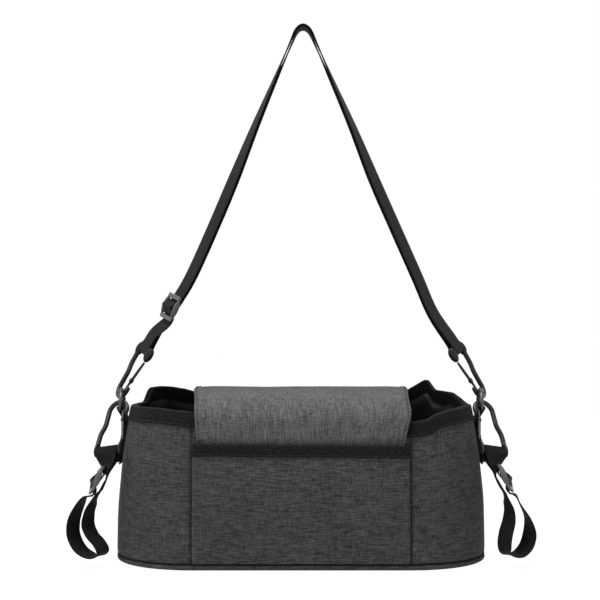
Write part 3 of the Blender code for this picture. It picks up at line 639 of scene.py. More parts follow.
binding = {"leg": 0.0140, "corner": 0.0013, "bulge": 0.0004, "edgeWave": 0.0007, "roll": 0.00035,
           "endTight": 0.0006, "tightFrom": 0.152, "tightOver": 0.010, "stitchUp": 0.0016}
stitchSize = {"length": 0.0026, "pitch": 0.0036, "radius": 0.00038, "sides": 6}
# Place along a stitch, width and lift of each of its rings, as shares of its length and radius
stitchRings = ((-0.5, 0.45, -0.9), (-0.3, 1.0, 0.2), (0.0, 1.0, 0.35), (0.3, 1.0, 0.2),
               (0.5, 0.45, -0.9))


def tapeProfile(outer, inner, leg, tape, corner, legSteps=7):
    # an inverted U of tape: (out, drop) points, outside first, then back along the inner faces
    profile = [(outer, -leg)]

    def turn(centre, steps, start):
        for step in steps:
            angle = math.pi / 2.0 * (start + step / 4)
            profile.append((centre + corner * math.cos(angle), -corner + corner * math.sin(angle)))

    for step in range(legSteps):
        share = step / (legSteps - 1)
        profile.append((outer + tape, -leg + 0.0002 + (leg - corner - 0.0002) * share))
    turn(outer + tape - corner, range(1, 5), 0.0)
    profile.append(((outer + inner) / 2.0, 0.0002))
    turn(inner - tape + corner, range(5), 1.0)
    for step in range(1, legSteps - 1):
        share = step / (legSteps - 2)
        profile.append((inner - tape, -corner - (leg - corner) * share))
    profile += [(inner, -leg), (inner, -tape), (outer, -tape)]
    return profile


def makeRimBinding():
    stations = outlineStations(104, 116)
    tape, gap = tub["tape"], tub["gap"]
    inner = -(tub["wall"] + gap + tub["liningThick"] + gap)
    profile = tapeProfile(gap, inner, binding["leg"], tape, binding["corner"])
    sections, line = [], []
    for station in stations:
        rim = rimAt(station)
        x = wallPoint(station, rim, 0.0).x
        free = awayFromEnds(x)
        edge = binding["edgeWave"] * ripple(station[2] * 55.0, 1.0) * free
        roll = binding["roll"] * ripple(station[2] * 90.0, 8.0) * free
        past = (abs(x) - binding["tightFrom"]) / binding["tightOver"]
        tight = binding["endTight"] * smooth01(past)
        ring = []
        for out, drop in profile:
            z = rim - tight + drop * (1.0 + edge / binding["leg"])
            share = clamp01(-drop / binding["leg"])
            puff = binding["bulge"] * math.sin(math.pi * share) * free + roll * share
            out -= tight if out > 0.0 else 0.0
            lift = slowWave(station, z) + puff if out > 0.0 else -puff
            ring.append(wallPoint(station, z, out + lift))
        sections.append(ring)
        z = rim - binding["leg"] + binding["stitchUp"] + edge
        share = clamp01((rim - z) / binding["leg"])
        puff = binding["bulge"] * math.sin(math.pi * share) * free + roll * share
        line.append(wallPoint(station, z, gap + tape + slowWave(station, z) + puff - tight))
    piece = loft("rim_tape", sections, closed=True, mapColumn=4)
    dress(piece, "tape", ["rim_binding"])
    normals = [Vector((math.cos(s[1]), math.sin(s[1]), 0.0)) for s in stations]
    stitchRow("rim_stitches", line + line[:1], normals + normals[:1], "thread")
    print("rim binding done")


def stitchRow(name, line, normals, look, slotName="binding_tape", **sizes):
    # short thread capsules laid along a line, half sunk into the cloth
    size = {**stitchSize, **sizes}
    pitch, length, radius, sides = size["pitch"], size["length"], size["radius"], size["sides"]
    gone = [0.0]
    for first, second in zip(line, line[1:]):
        gone.append(gone[-1] + (second - first).length)
    count = int(gone[-1] / pitch)
    points, faces = [], []
    where = 0
    for stitch in range(count):
        middle = (stitch + 0.5) * gone[-1] / count
        while where < len(gone) - 2 and gone[where + 1] < middle:
            where += 1
        share = (middle - gone[where]) / max(gone[where + 1] - gone[where], 1e-9)
        centre = line[where].lerp(line[where + 1], share)
        along = (line[where + 1] - line[where]).normalized()
        normal = normals[where].lerp(normals[where + 1], share).normalized()
        across = along.cross(normal).normalized()
        start = len(points)
        for place, wide, lift in stitchRings:
            middle = centre + along * (place * length) + normal * (lift * radius)
            for corner in range(sides):
                angle = 2.0 * math.pi * corner / sides
                offset = across * math.cos(angle) + normal * math.sin(angle)
                points.append(middle + offset * (radius * wide))
        for ring in range(len(stitchRings) - 1):
            low = start + ring * sides
            for corner in range(sides):
                after = (corner + 1) % sides
                faces.append((low + corner, low + after, low + sides + after, low + sides + corner))
        faces.append(tuple(start + corner for corner in reversed(range(sides))))
        faces.append(tuple(range(len(points) - sides, len(points))))
    piece = meshPiece(name, points, faces)
    dress(piece, look, smooth=60.0)
    return piece


# The front pocket and the binding of its mouth

pocket = {"top": 0.1208, "leg": 0.0112, "corner": 0.0011, "mouthDrop": 0.0016, "mouthSlant": 0.0090,
          "cloth": 0.0012, "seam": 0.0036, "riseZ": 0.080, "room": 0.0022, "flapOut": 0.0006,
          "flapCloth": 0.0018, "bottom": 0.0069, "rows": 52, "columns": 96, "tapeSteps": 150,
          "puff": 0.0003, "lift": 0.0006}
pocket["stand"] = (pocket["flapOut"] + pocket["flapCloth"] + tub["tape"] + tub["gap"]
                   + pocket["room"])
# A small pull in the cloth by the right seam and the fold above it: out, x and reach, z and reach
pulls = [(-0.0016, 0.1005, 0.0035, 0.083, 0.0022), (0.0008, 0.0985, 0.0040, 0.0875, 0.0026)]


def pocketOut(x, z):
    side = smooth01((tub["halfStraight"] - abs(x)) / pocket["seam"])
    rise = smooth01(z / pocket["riseZ"])
    return tub["gap"] + (pocket["stand"] - tub["gap"]) * side * rise


def frontWave(x, z):
    wave = 0.0007 * ripple(x * 15.0, z * 17.0, 2.0) + 0.0003 * ripple(x * 45.0, z * 38.0, 6.0)
    edge = tub["halfStraight"] - abs(x)
    pinch = 0.00035 * math.exp(-max(edge, 0.0) / 0.006) * ripple(z * 150.0, x * 20.0, 4.0)
    pull = sum(out * hump(x, atX, wideX) * hump(z, atZ, wideZ)
               for out, atX, wideX, atZ, wideZ in pulls)
    return wave * smooth01(edge / 0.02) + pinch + pull


def frontSlow(x, z):
    return slowWave((x, -math.pi / 2.0, 0.0), z) * 0.5


def mouthAt(x):
    return -pocket["mouthDrop"] - pocket["mouthSlant"] * x


def frontPoint(x, z, out):
    return Vector((x, -(endRadius(z) + out), z))


def pocketColumns(half, count):
    columns = []
    for step in range(count + 1):
        share = 2.0 * step / count - 1.0
        columns.append(half * math.sin(share * math.pi / 2.0) * 0.35 + half * share * 0.65)
    return columns


def makePocket():
    columns = pocketColumns(tub["halfStraight"] - 0.0004, pocket["columns"])
    top = pocket["top"] - tub["tape"] - tub["gap"]
    bottom, rows = pocket["bottom"], pocket["rows"]
    sections = []
    for level in range(rows + 1):
        outer, inner = [], []
        for x in columns:
            z = bottom + (top + mouthAt(x) - bottom) * level / rows
            foot = -0.0008 * math.exp(-(z - bottom) / 0.0012)
            out = pocketOut(x, z)
            wave = frontWave(x, z) + frontSlow(x, z) + foot
            edge = math.exp(-((tub["halfStraight"] - abs(x)) / 0.0014) ** 2) * 0.0010
            outer.append(frontPoint(x, z, max(out + pocket["cloth"] + wave - edge, pocket["lift"])))
            inner.append(frontPoint(x, z, max(out + wave * 0.5 - edge, pocket["lift"] / 2.0)))
        sections.append(outer + inner[::-1])
    piece = loft("pocket_cloth", sections, mapColumn=48)
    remapCloth(piece)
    dress(piece, "cloth", ["front_pocket"])

    tape, steps = tub["tape"], pocket["tapeSteps"]
    loose = tub["gap"] * 0.6
    profile = tapeProfile(pocket["cloth"] + loose, -loose, pocket["leg"], tape, pocket["corner"])
    sections, line, normals = [], [], []
    half = tub["halfStraight"] + 0.0002
    for step in range(steps + 1):
        x = half * (2.0 * step / steps - 1.0)
        sag = mouthAt(x) + 0.0004 * ripple(x * 20.0, 5.0) + 0.00015 * ripple(x * 110.0, 2.0)
        edge = smooth01((half - abs(x)) / 0.0025)
        ring = []
        for out, drop in profile:
            z = pocket["top"] + drop + sag
            puff = pocket["puff"] * math.sin(math.pi * clamp01(-drop / pocket["leg"]))
            out = out + puff if out > 0.0 else out * edge
            lift = pocketOut(x, z) + out + frontWave(x, z) * 0.6 + frontSlow(x, z)
            ring.append(frontPoint(x, z, max(lift, pocket["lift"])))
        sections.append(ring)
        z = pocket["top"] - pocket["leg"] + binding["stitchUp"] + sag
        puff = pocket["puff"] * math.sin(math.pi * clamp01((pocket["top"] - z) / pocket["leg"]))
        out = pocketOut(x, z) + pocket["cloth"] + loose + tape + puff
        if abs(x) < half - 0.003:
            line.append(frontPoint(x, z, out + frontWave(x, z) * 0.6 + frontSlow(x, z)))
            normals.append(Vector((0.0, -1.0, 0.2)))
    piece = loft("pocket_tape", sections, mapColumn=4)
    dress(piece, "tape", ["pocket_binding"])
    stitchRow("pocket_stitches", line, normals, "thread")
    # thick near-black stitch rows in the side seams: real stitching that also paints the shade of
    # the seam valley
    for word, side in bothSides:
        x = side * (tub["halfStraight"] + 0.0003)
        seam = [frontPoint(x, 0.008 + step * 0.003, 0.0002) for step in range(37)]
        stitchRow(f"seam_shade_stitches_{word}", seam, [Vector((0.0, -1.0, 0.1))] * len(seam),
                  "darkThreadAndSeamShade", "melange_cloth", radius=0.00060)
    print("front pocket done")


def remapCloth(piece):
    # flat fronts take their weave straight from x and z, so the threads stay level
    layer = piece.data.uv_layers["clothMap"]
    for loop in piece.data.loops:
        place = piece.data.vertices[loop.vertex_index].co
        layer.data[loop.index].uv = (place.x, place.z)


def catmull(points, steps):
    ends = [points[0] * 2.0 - points[1], *points, points[-1] * 2.0 - points[-2]]
    result = []
    for index in range(len(points) - 1):
        a, b, c, d = ends[index:index + 4]
        for step in range(steps):
            t = step / steps
            result.append(0.5 * ((2.0 * b) + (c - a) * t + (2.0 * a - 5.0 * b + 4.0 * c - d) * t * t
                                 + (3.0 * b - a - 3.0 * c + d) * t ** 3))
    result.append(points[-1].copy())
    return result


# The flap: from the outside of the back wall, over the top and down inside the pocket

flap = {"cloth": 0.0018, "halfTop": 0.107, "halfRim": 0.1020, "halfTuck": 0.0990,
        "rightBulge": 0.0036, "bulgeZ": 0.147, "bulgeReach": 0.013, "crown": 0.0064, "tuck": 0.0130,
        "hem": 0.0040, "hemThick": 0.0008, "stitchIn": 0.0028, "groove": 0.0008,
        "edgeRound": 0.0012, "sag": 0.0008, "sagReach": 0.020, "columns": 120,
        "bendY": -0.0470, "bendZ": 0.1380, "bendOut": 0.0268, "bendUp": 0.0230}
# Where the front of the flap passes below its bend, as y and z
flapFront = [(-0.0740, 0.1345), (-0.0741, 0.1290), (-0.0738, 0.1240), (-0.0730, 0.1195)]


def flapPath():
    backRim = tub["rimHeight"] + tub["backRise"]
    bound = tub["gap"] + tub["tape"] + 2.0 * tub["gap"]
    path = []
    for drop in (0.024, 0.014, 0.005):
        z = backRim - drop
        path.append((endRadius(z) + bound, z))
    backEdge, frontEdge = endRadius(backRim), endRadius(tub["rimHeight"])
    path.append((backEdge - 0.0005, backRim + 0.0022))
    for share in (0.10, 0.30, 0.50, 0.70):
        y = backEdge + (-frontEdge - backEdge) * share
        z = backRim + (tub["rimHeight"] - backRim) * share
        path.append((y, z + 0.0026 + flap["crown"] * math.sin(math.pi * share)))
    for degrees in (84.0, 66.0, 48.0, 30.0, 12.0):
        angle = math.radians(degrees)
        path.append((flap["bendY"] - flap["bendOut"] * math.cos(angle),
                     flap["bendZ"] + flap["bendUp"] * math.sin(angle)))
    path += flapFront
    for drop in (0.006, flap["tuck"]):
        z = pocket["top"] - drop
        path.append((-(endRadius(z) + pocket["flapOut"]), z))
    return catmull([Vector((0.0, y, z)) for y, z in path], 7)


def flapHalf(y, z):
    if z < tub["rimHeight"] and y < 0.0:
        share = (tub["rimHeight"] - z) / (tub["rimHeight"] - pocket["top"] + flap["tuck"])
        return flap["halfRim"] + (flap["halfTuck"] - flap["halfRim"]) * clamp01(share * 1.3)
    share = clamp01(-y / endRadius(tub["rimHeight"]))
    return flap["halfTop"] + (flap["halfRim"] - flap["halfTop"]) * share


def flapWave(x, gone):
    slow = 0.0007 * ripple(x * 16.0, gone * 19.0, 3.0)
    return max(0.0005 + slow + 0.0003 * ripple(x * 50.0, gone * 40.0, 8.0), 0.0)


def makeFlap():
    path = flapPath()
    sections, lines, lineNormals = [], {left: [], right: []}, []
    gone = 0.0
    for index, point in enumerate(path):
        along = heading(path, index)
        normal = Vector((0.0, along.z, -along.y))
        if index:
            gone += (point - path[index - 1]).length
        half = flapHalf(point.y, point.z)
        half += 0.0002 * ripple(gone * 40.0, 3.0)
        bulge = flap["rightBulge"] * hump(point.z, flap["bulgeZ"], flap["bulgeReach"])
        bulge *= smooth01(-point.y / 0.05)
        sagHere = flap["sag"] * smooth01((point.z - 0.150) / 0.012)
        sagHere *= smooth01((point.y + 0.066) / 0.02)
        above = point.z - pocket["top"] if point.y < 0.0 else 1.0
        outer, inner = [], []
        for step in range(flap["columns"] + 1):
            share = 2.0 * step / flap["columns"] - 1.0
            share = 0.75 * share + 0.25 * math.sin(share * math.pi / 2.0)
            reach = half + (bulge if share > 0.0 else 0.0)
            x = reach * share
            inset = reach - abs(x)
            wave = flapWave(x, gone) if above >= 0.004 else 0.0
            sag = -sagHere * math.exp(-inset / flap["sagReach"])
            hem = 1.0 - smooth01((inset - flap["hem"]) / 0.0012) if above >= 0.002 else 0.0
            groove = flap["groove"] * hump(inset, flap["stitchIn"], 0.0008)
            rounded = roundEdge(inset, flap["edgeRound"])
            middle = 0.5 * flap["cloth"]
            top = middle + (middle + flap["hemThick"] * hem) * rounded - groove + wave + sag
            low = middle - middle * rounded + wave * 0.6 + sag
            place = point + Vector((x, 0.0, 0.0))
            outer.append(place + normal * top)
            inner.append(place + normal * low)
        sections.append(outer + inner[::-1])
        if point.z <= pocket["top"]:
            continue
        lineNormals.append(normal)
        for side in (left, right):
            x = side * (half - flap["stitchIn"]) + (bulge if side > 0.0 else 0.0)
            sag = -sagHere * math.exp(-flap["stitchIn"] / flap["sagReach"])
            lift = flap["cloth"] + flap["hemThick"] - 0.0007 + flapWave(x, gone) + sag
            lines[side].append(point + Vector((x, 0.0, 0.0)) + normal * lift)
    piece = loft("flap_cloth", sections, mapColumn=46)
    # the flap takes the lighter copy of the cloth: painted light from above
    dress(piece, "litFlapCloth", ["top_flap"])
    hemLift = flap["cloth"] + 0.0004
    hemRow = [path[2] + Vector((-0.098 + 0.014 * step, hemLift, 0.0)) for step in range(15)]
    stitchRow("flap_stitches_back", hemRow, [Vector((0.0, 1.0, 0.1))] * len(hemRow),
              "darkThreadAndSeamShade", "melange_cloth", radius=0.00040)
    for word, side in bothSides:
        stitchRow(f"flap_stitches_{word}", lines[side], lineNormals,
                  "darkThreadAndSeamShade", "melange_cloth", radius=0.00034)


# The black lining with its folds, the floor and the padded dividers

inside = {"fold": 0.0034, "foldFrom": 0.0115, "foldRise": 0.007, "foot": 0.012, "footRise": 0.02,
          "plain": 0.75, "soft": 0.8, "sharp": 0.5, "levels": 40, "floorZ": 0.0061,
          "floorIn": 0.0056, "floorThick": 0.0008,
          "dividerAt": 0.092, "dividerThick": 0.0040, "dividerFoot": 0.0091, "dividerTop": 0.128,
          "dividerRows": 40, "dividerColumns": 44}


def liningFold(station, z, rim):
    depth = clamp01((rim - z - inside["foldFrom"]) / inside["foldRise"])
    away = smooth01((z - inside["foot"]) / inside["footRise"])
    fold = ripple(station[2] * 34.0, z * 9.0, 1.0) + 0.7 * ripple(station[2] * 62.0, z * 21.0, 4.0)
    sharp = 1.0 - abs(ripple(station[2] * 22.0 + z * 10.0, z * 16.0, 9.0)) * 2.4
    height = inside["plain"] + inside["soft"] * fold + inside["sharp"] * max(sharp, 0.0)
    return -inside["fold"] * depth * away * height


def makeLining():
    stations = outlineStations(96, 104)
    sections = []
    for station in stations:
        rim = rimAt(station)
        top = rim - tub["tape"] - tub["gap"]
        outer, inner = [], []
        for level in range(inside["levels"] + 1):
            z = inside["floorZ"] + (top - inside["floorZ"]) * level / inside["levels"]
            fold = min(liningFold(station, z, rim), 0.0)
            face = -(tub["wall"] + tub["gap"])
            inner.append(wallPoint(station, z, face - tub["liningThick"] + fold))
            if level % 5 == 0:
                outer.append(wallPoint(station, z, face + fold * 0.9))
        sections.append(inner + outer[::-1])
    piece = loft("lining_cloth", sections, closed=True, mapColumn=20)
    dress(piece, "lining", ["lining"])

    bpy.ops.mesh.primitive_grid_add(x_subdivisions=120, y_subdivisions=52, size=1.0)
    floor = bpy.context.object
    floor.name = "lining_floor"
    half, radius = tub["halfStraight"], tub["baseRadius"] - inside["floorIn"]
    for vertex in floor.data.vertices:
        u, v = vertex.co.x * 2.0, vertex.co.y * 2.0
        x = u * (half + radius * math.sqrt(max(0.0, 1.0 - v * v)))
        y = v * radius
        puff = 0.0009 + 0.0007 * ripple(x * 30.0, y * 30.0)
        vertex.co = (x, y, inside["floorZ"] + tub["gap"] + puff)
    applyModifier(floor, "SOLIDIFY", thickness=inside["floorThick"], offset=-1.0)
    flatMap(floor)
    dress(floor, "lining")
    print("lining done")


def flatMap(piece):
    for layer in list(piece.data.uv_layers):
        piece.data.uv_layers.remove(layer)
    layer = piece.data.uv_layers.new(name="clothMap")
    for loop in piece.data.loops:
        place = piece.data.vertices[loop.vertex_index].co
        layer.data[loop.index].uv = (place.x + place.z * 0.3, place.y + place.z)


def makeDividers():
    for word, side in bothSides:
        sections = []
        foot, top = inside["dividerFoot"], inside["dividerTop"]
        rows, columns = inside["dividerRows"], inside["dividerColumns"]
        for level in range(rows + 1):
            z = foot + (top - foot) * level / rows
            half = endRadius(z) - tub["wall"] - tub["liningThick"] - 2.5 * tub["gap"]
            topRound = roundEdge(top - z + 0.0003, 0.002)
            seam = 0.0009 * hump(z, top - 0.011, 0.0011)
            front, back = [], []
            for step in range(columns + 1):
                y = half * (2.0 * step / columns - 1.0)
                quilt = 0.55 + 0.45 * math.sqrt(clamp01((half - abs(y)) / 0.012))
                for skin, face in ((front, 1.0), (back, -1.0)):
                    lump = 0.0005 * ripple(y * 30.0, z * 30.0, side + face)
                    reach = (inside["dividerThick"] / 2.0 * quilt + lump - seam) * topRound
                    x = side * inside["dividerAt"] + face * max(reach, 0.0002)
                    skin.append(Vector((x, y, z)))
            sections.append(front + back[::-1])
        piece = loft(f"divider_pad_{word}", sections, mapColumn=20)
        dress(piece, "lining", [f"divider_{word}"])
    print("dividers done")


# Webbing: ribbons along (place, width direction) stations, with rounded selvedges

webbing = {"width": 0.0250, "thick": 0.0014, "pitch": 0.0022, "ring": 0.0019, "ringOut": 0.0079,
           "ringBarZ": 0.1490, "ringHeight": 0.0185, "ringHalf": 0.0156, "tabBottom": 0.094,
           "edge": 0.0016}
ringX = endX(webbing["ringBarZ"]) + tub["gap"] + tub["tape"] + webbing["ringOut"]
wrap = webbing["thick"] / 2.0 + tub["gap"]


def ribbonProfile():
    half, thick = webbing["width"] / 2.0, webbing["thick"] / 2.0
    shares = (-1.0, -0.97, -0.90, -0.6, -0.3, 0.0, 0.3, 0.6, 0.90, 0.97, 1.0)
    upper = []
    for share in shares:
        edge = clamp01((1.0 - abs(share)) * half / webbing["edge"])
        upper.append((share * half, thick * (0.45 + 0.55 * math.sqrt(edge))))
    return upper + [(across, -deep) for across, deep in reversed(upper)]


def ribbonPath(stations, steps):
    points = catmull([point for point, _ in stations], steps)
    widths = catmull([Vector(width) for _, width in stations], steps)
    placed = []
    for index, point in enumerate(points):
        along = heading(points, index)
        width = (widths[index] - widths[index].dot(along) * along).normalized()
        placed.append((point, width, width.cross(along)))
    return placed


def ribbon(name, stations, steps=8):
    profile = ribbonProfile()
    sections = []
    for point, width, normal in ribbonPath(stations, steps):
        sections.append([point + width * across + normal * deep for across, deep in profile])
    return loft(name, sections, mapColumn=5)


tab = {"boundZ": 0.1405, "boxHalf": 0.0098, "boxLow": 0.100, "boxHigh": 0.119, "boxSteps": 12}


def tabPath(side):
    turned = webbing["ring"] + wrap
    inner, outer = [], []
    for z in (webbing["tabBottom"], 0.110, 0.124, 0.134):
        x = endX(z) + wrap
        inner.append((x, z))
        above = 0.002 if z == webbing["tabBottom"] else 0.0
        outer.append((x + webbing["thick"] + tub["gap"], z + above))
    turn = [(ringX + turned * math.cos(angle), webbing["ringBarZ"] + turned * math.sin(angle))
            for angle in (math.pi * share for share in (1.0, 0.75, 0.5, 0.25, 0.0))]
    bound = endX(tab["boundZ"]) + tub["gap"] + tub["tape"] + wrap
    path = [*inner, (bound + 0.0004, tab["boundZ"]), *turn, (bound + 0.0030, tab["boundZ"]),
            *reversed(outer)]
    return [(Vector((side * (x + 0.0003), 0.0, z)), (0.0, -1.0, 0.0)) for x, z in path]


def makeTabs():
    half, low, high = tab["boxHalf"], tab["boxLow"], tab["boxHigh"]
    corners = [(-half, low), (half, low), (half, high), (-half, high), (-half, low), (half, high)]
    for word, side in bothSides:
        piece = ribbon(f"tab_webbing_{word}", tabPath(side))
        dress(piece, "webbing", [f"ring_tab_{word}"])
        line, normals = [], []
        for (y0, z0), (y1, z1) in zip(corners, corners[1:]):
            for step in range(tab["boxSteps"]):
                share = step / tab["boxSteps"]
                z = z0 + (z1 - z0) * share
                x = endX(z) + wrap + webbing["thick"] * 1.5 + tub["gap"] + 0.0002
                line.append(Vector((side * x, y0 + (y1 - y0) * share, z)))
                normals.append(Vector((side, 0.0, 0.15)))
        stitchRow(f"tab_stitches_{word}", line, normals, "thread", "webbing",
                  pitch=0.0026, length=0.0019)
    print("tabs done")


def rodPiece(name, points, radius, closed=False, radii=None, sides=6):
    # a round rod along points, as a mesh with welded caps
    curve = bpy.data.curves.new(name, "CURVE")
    curve.dimensions = "3D"
    curve.bevel_depth = radius
    curve.bevel_resolution = sides
    curve.use_fill_caps = not closed
    spline = curve.splines.new("POLY")
    spline.points.add(len(points) - 1)
    spline.use_cyclic_u = closed
    for index, point in enumerate(points):
        spline.points[index].co = (*point, 1.0)
        spline.points[index].radius = 1.0 if radii is None else radii[index]
    guide = bpy.data.objects.new(name, curve)
    bpy.context.scene.collection.objects.link(guide)
    selectOnly(guide)
    bpy.ops.object.convert(target="MESH")
    piece = bpy.context.object
    bpy.ops.object.mode_set(mode="EDIT")
    bpy.ops.mesh.select_all(action="SELECT")
    bpy.ops.mesh.remove_doubles(threshold=0.00001)
    bpy.ops.mesh.normals_make_consistent(inside=False)
    bpy.ops.object.mode_set(mode="OBJECT")
    return piece


def makeRings():
    half, top = webbing["ringHalf"], webbing["ringHalf"] - 0.0011
    centre = webbing["ringBarZ"] + webbing["ringHeight"] - top
    for word, side in bothSides:
        foot = [(half - inset, webbing["ringBarZ"] + rise)
                for inset, rise in ((0.0003, 0.0013), (0.0011, 0.0003), (0.0024, 0.0))]
        outline = [(-y, z) for y, z in reversed(foot)]
        for step in range(33):
            angle = math.pi * step / 32
            outline.append((-half * math.cos(angle), centre + top * math.sin(angle)))
        outline += foot
        path = [Vector((side * ringX, y, z)) for y, z in outline]
        piece = rodPiece(f"ring_wire_{word}", path, webbing["ring"], closed=True, sides=7)
        dress(piece, "ring", [f"d_ring_{word}"])
    print("rings done")


# Snap hooks and sliders, modelled in their own plane and placed by a frame

hook = {"reach": 0.0525, "half": 0.0110, "bend": 0.0102, "rod": 0.0025, "bar": 0.0021,
        "earAt": 0.0149, "ear": (0.0018, 0.0080, 0.0046), "grain": 0.00034, "smoothing": 9,
        "pivot": (0.0146, 0.0100), "noseEnd": 0.0385, "lean": 30.0,
        "shoulderTwist": 0.48, "shoulderSeat": 0.0038, "shoulderY": 0.0076,
        "strollerTwist": 0.80, "strollerSeat": 0.0014, "strollerY": -0.012, "strollerOut": 0.002,
        "strollerAlong": (0.152, 0.507, 0.848)}
gate = {"rod": 0.0011, "gap": 0.0006, "swell": 0.35, "knobV": 0.0320,
        "knob": (0.0018, 0.0034, 0.0024), "past": 0.0012, "grain": 0.00026, "smoothing": 5}
slider = {"bar": 0.0013, "pitch": 0.0095, "rail": 0.0148, "endWide": 0.0046, "endThick": 0.0026,
          "sideWide": 0.0018, "sideThick": 0.0029, "endOut": 0.0014, "soften": 0.0008,
          "cheek": (0.0019, 0.0094, 0.0032), "grain": 0.00030, "smoothing": 3}


class Place:
    # u across from the far to the near edge, v along, w outward
    def __init__(self, origin, across, along, outward):
        self.origin = Vector(origin)
        self.v = Vector(along).normalized()
        across = Vector(across)
        self.u = (across - across.dot(self.v) * self.v).normalized()
        self.w = self.u.cross(self.v)
        if self.w.dot(Vector(outward)) < 0.0:
            self.w = -self.w

    def at(self, v, w, u=0.0):
        return self.origin + self.u * u + self.v * v + self.w * w

    def stops(self, pairs):
        return [(self.at(v, w), self.u) for v, w in pairs]

    def matrix(self):
        turn = Matrix((self.u, self.v, self.u.cross(self.v))).transposed().to_4x4()
        return Matrix.Translation(self.origin) @ turn


def shoulderPlace(side):
    lean = math.radians(hook["lean"])
    twist = hook["shoulderTwist"]
    seat = webbing["ring"] + hook["rod"] + hook["shoulderSeat"]
    top = webbing["ringBarZ"] + webbing["ringHeight"]
    crossing = Vector((side * ringX, hook["shoulderY"], top))
    place = Place(crossing, (-side * twist, -math.sqrt(1.0 - twist ** 2), 0.0),
                  (side * math.sin(lean), 0.0, -math.cos(lean)), (side, 0.0, 0.4))
    place.origin = crossing - place.v * (hook["reach"] - seat)
    return place


def strollerPlace(side):
    twist = hook["strollerTwist"]
    seat = webbing["ring"] + tub["gap"] + webbing["thick"] + hook["rod"] + hook["strollerSeat"]
    across, back, up = hook["strollerAlong"]
    x = side * (ringX + hook["strollerOut"])
    crossing = Vector((x, hook["strollerY"], webbing["ringBarZ"]))
    place = Place(crossing, (-side * twist, -math.sqrt(1.0 - twist ** 2), 0.0),
                  (-side * across, back, up), (side, 0.0, 0.4))
    place.origin = crossing - place.v * (hook["reach"] - seat)
    return place


def joinAndMelt(name, pieces, shape):
    # fuse rods and bosses into one moulding with soft fillets
    selectOnly(pieces[0])
    for piece in pieces:
        piece.select_set(True)
    bpy.ops.object.join()
    piece = bpy.context.object
    piece.name = name
    applyModifier(piece, "REMESH", mode="VOXEL", voxel_size=shape["grain"])
    applyModifier(piece, "SMOOTH", factor=0.5, iterations=shape["smoothing"])
    return piece


def settle(name, centre, size):
    # name the solid just added and stretch it about its centre
    piece = bpy.context.object
    piece.name = name
    for vertex in piece.data.vertices:
        vertex.co = Vector([centre[i] + vertex.co[i] * size[i] for i in range(3)])
    return piece


def boss(name, centre, radii):
    bpy.ops.mesh.primitive_uv_sphere_add(segments=28, ring_count=16, radius=1.0)
    return settle(name, centre, radii)


def crossBar(reach, radius):
    return rodPiece("bar", [Vector((-reach, 0.0, 0.0)), Vector((reach, 0.0, 0.0))], radius)


def hookTemplate():
    centreV = hook["reach"] - hook["bend"]
    half, ear = hook["half"], hook["earAt"]
    points = [(-ear - 0.0008, 0.002), (-ear - 0.0006, 0.009), (-ear, 0.018),
              (-half - 0.0006, 0.027), (-half - 0.0001, 0.035)]
    points = [(p.x, p.y) for p in catmull([Vector((u, v, 0.0)) for u, v in points], 4)]
    for step in range(17):
        angle = math.pi * (1.0 - step / 16)
        points.append((half * math.cos(angle), centreV + hook["bend"] * math.sin(angle)))
    points += [(half - 0.0002, hook["noseEnd"] + 0.0016), (half - 0.0004, hook["noseEnd"] + 0.0006),
               (half - 0.0005, hook["noseEnd"])]
    radii = [1.0] * (len(points) - 3) + [0.97, 0.85, 0.55]
    leg = rodPiece("leg", [Vector((u, v, 0.0)) for u, v in points], hook["rod"], radii=radii)
    bar = crossBar(ear, hook["bar"])
    ears = [boss("ear", (end * ear, 0.001, 0.0), hook["ear"]) for end in (-1.0, 1.0)]
    return joinAndMelt("hookTemplate", [leg, bar, *ears], hook)


def gateTemplate():
    within = hook["half"] - hook["rod"] - gate["gap"] - gate["rod"]
    pivotU, pivotV = hook["pivot"]
    nose, knobV = hook["noseEnd"] + gate["past"], gate["knobV"]
    slope = (within - pivotU) / (nose - pivotV)
    rows = (pivotV - 0.0006, pivotV + 0.006, knobV - 0.006, knobV, nose)
    axis = [Vector((pivotU + slope * (v - pivotV), v, 0.0)) for v in rows]
    axis.append(Vector((within - 0.0002, hook["noseEnd"] + 0.0045, 0.0)))
    axis = catmull(axis, 4)
    swell = [1.0 + gate["swell"] * math.sin(math.pi * clamp01(index / (len(axis) - 5)))
             for index in range(len(axis))]
    rod = rodPiece("gate", axis, gate["rod"], radii=swell)
    knob = boss("knob", (pivotU + slope * (knobV - pivotV), knobV, 0.0), gate["knob"])
    return joinAndMelt("gateTemplate", [rod, knob], gate)


def softBlock(name, centre, size):
    bpy.ops.mesh.primitive_cube_add(size=1.0)
    piece = settle(name, centre, size)
    applyModifier(piece, "BEVEL", width=slider["soften"], segments=3)
    return piece


def sliderTemplate():
    rail, pitch = slider["rail"], slider["pitch"]
    endSize = (2.0 * rail + slider["sideWide"] * 0.6, slider["endWide"], slider["endThick"])
    sideSize = (slider["sideWide"], 2.0 * pitch + slider["endWide"], slider["sideThick"])
    ways = (-1.0, 1.0)
    endAt = pitch + slider["endOut"]
    ends = [softBlock("endBar", (0.0, way * endAt, 0.0), endSize) for way in ways]
    sides = [softBlock("sideBar", (way * rail, 0.0, 0.0), sideSize) for way in ways]
    cheeks = [boss("cheek", (way * rail, 0.0, 0.0), slider["cheek"]) for way in ways]
    bar = crossBar(rail, slider["bar"] * 0.95)
    return joinAndMelt("sliderTemplate", [bar, *ends, *sides, *cheeks], slider)


def placeCopy(template, name, place, look, node, body="bag"):
    piece = bpy.data.objects.new(name, template.data.copy())
    bpy.context.scene.collection.objects.link(piece)
    piece.data.transform(place.matrix())
    dress(piece, look, [node], body, smooth=60.0)
    return piece


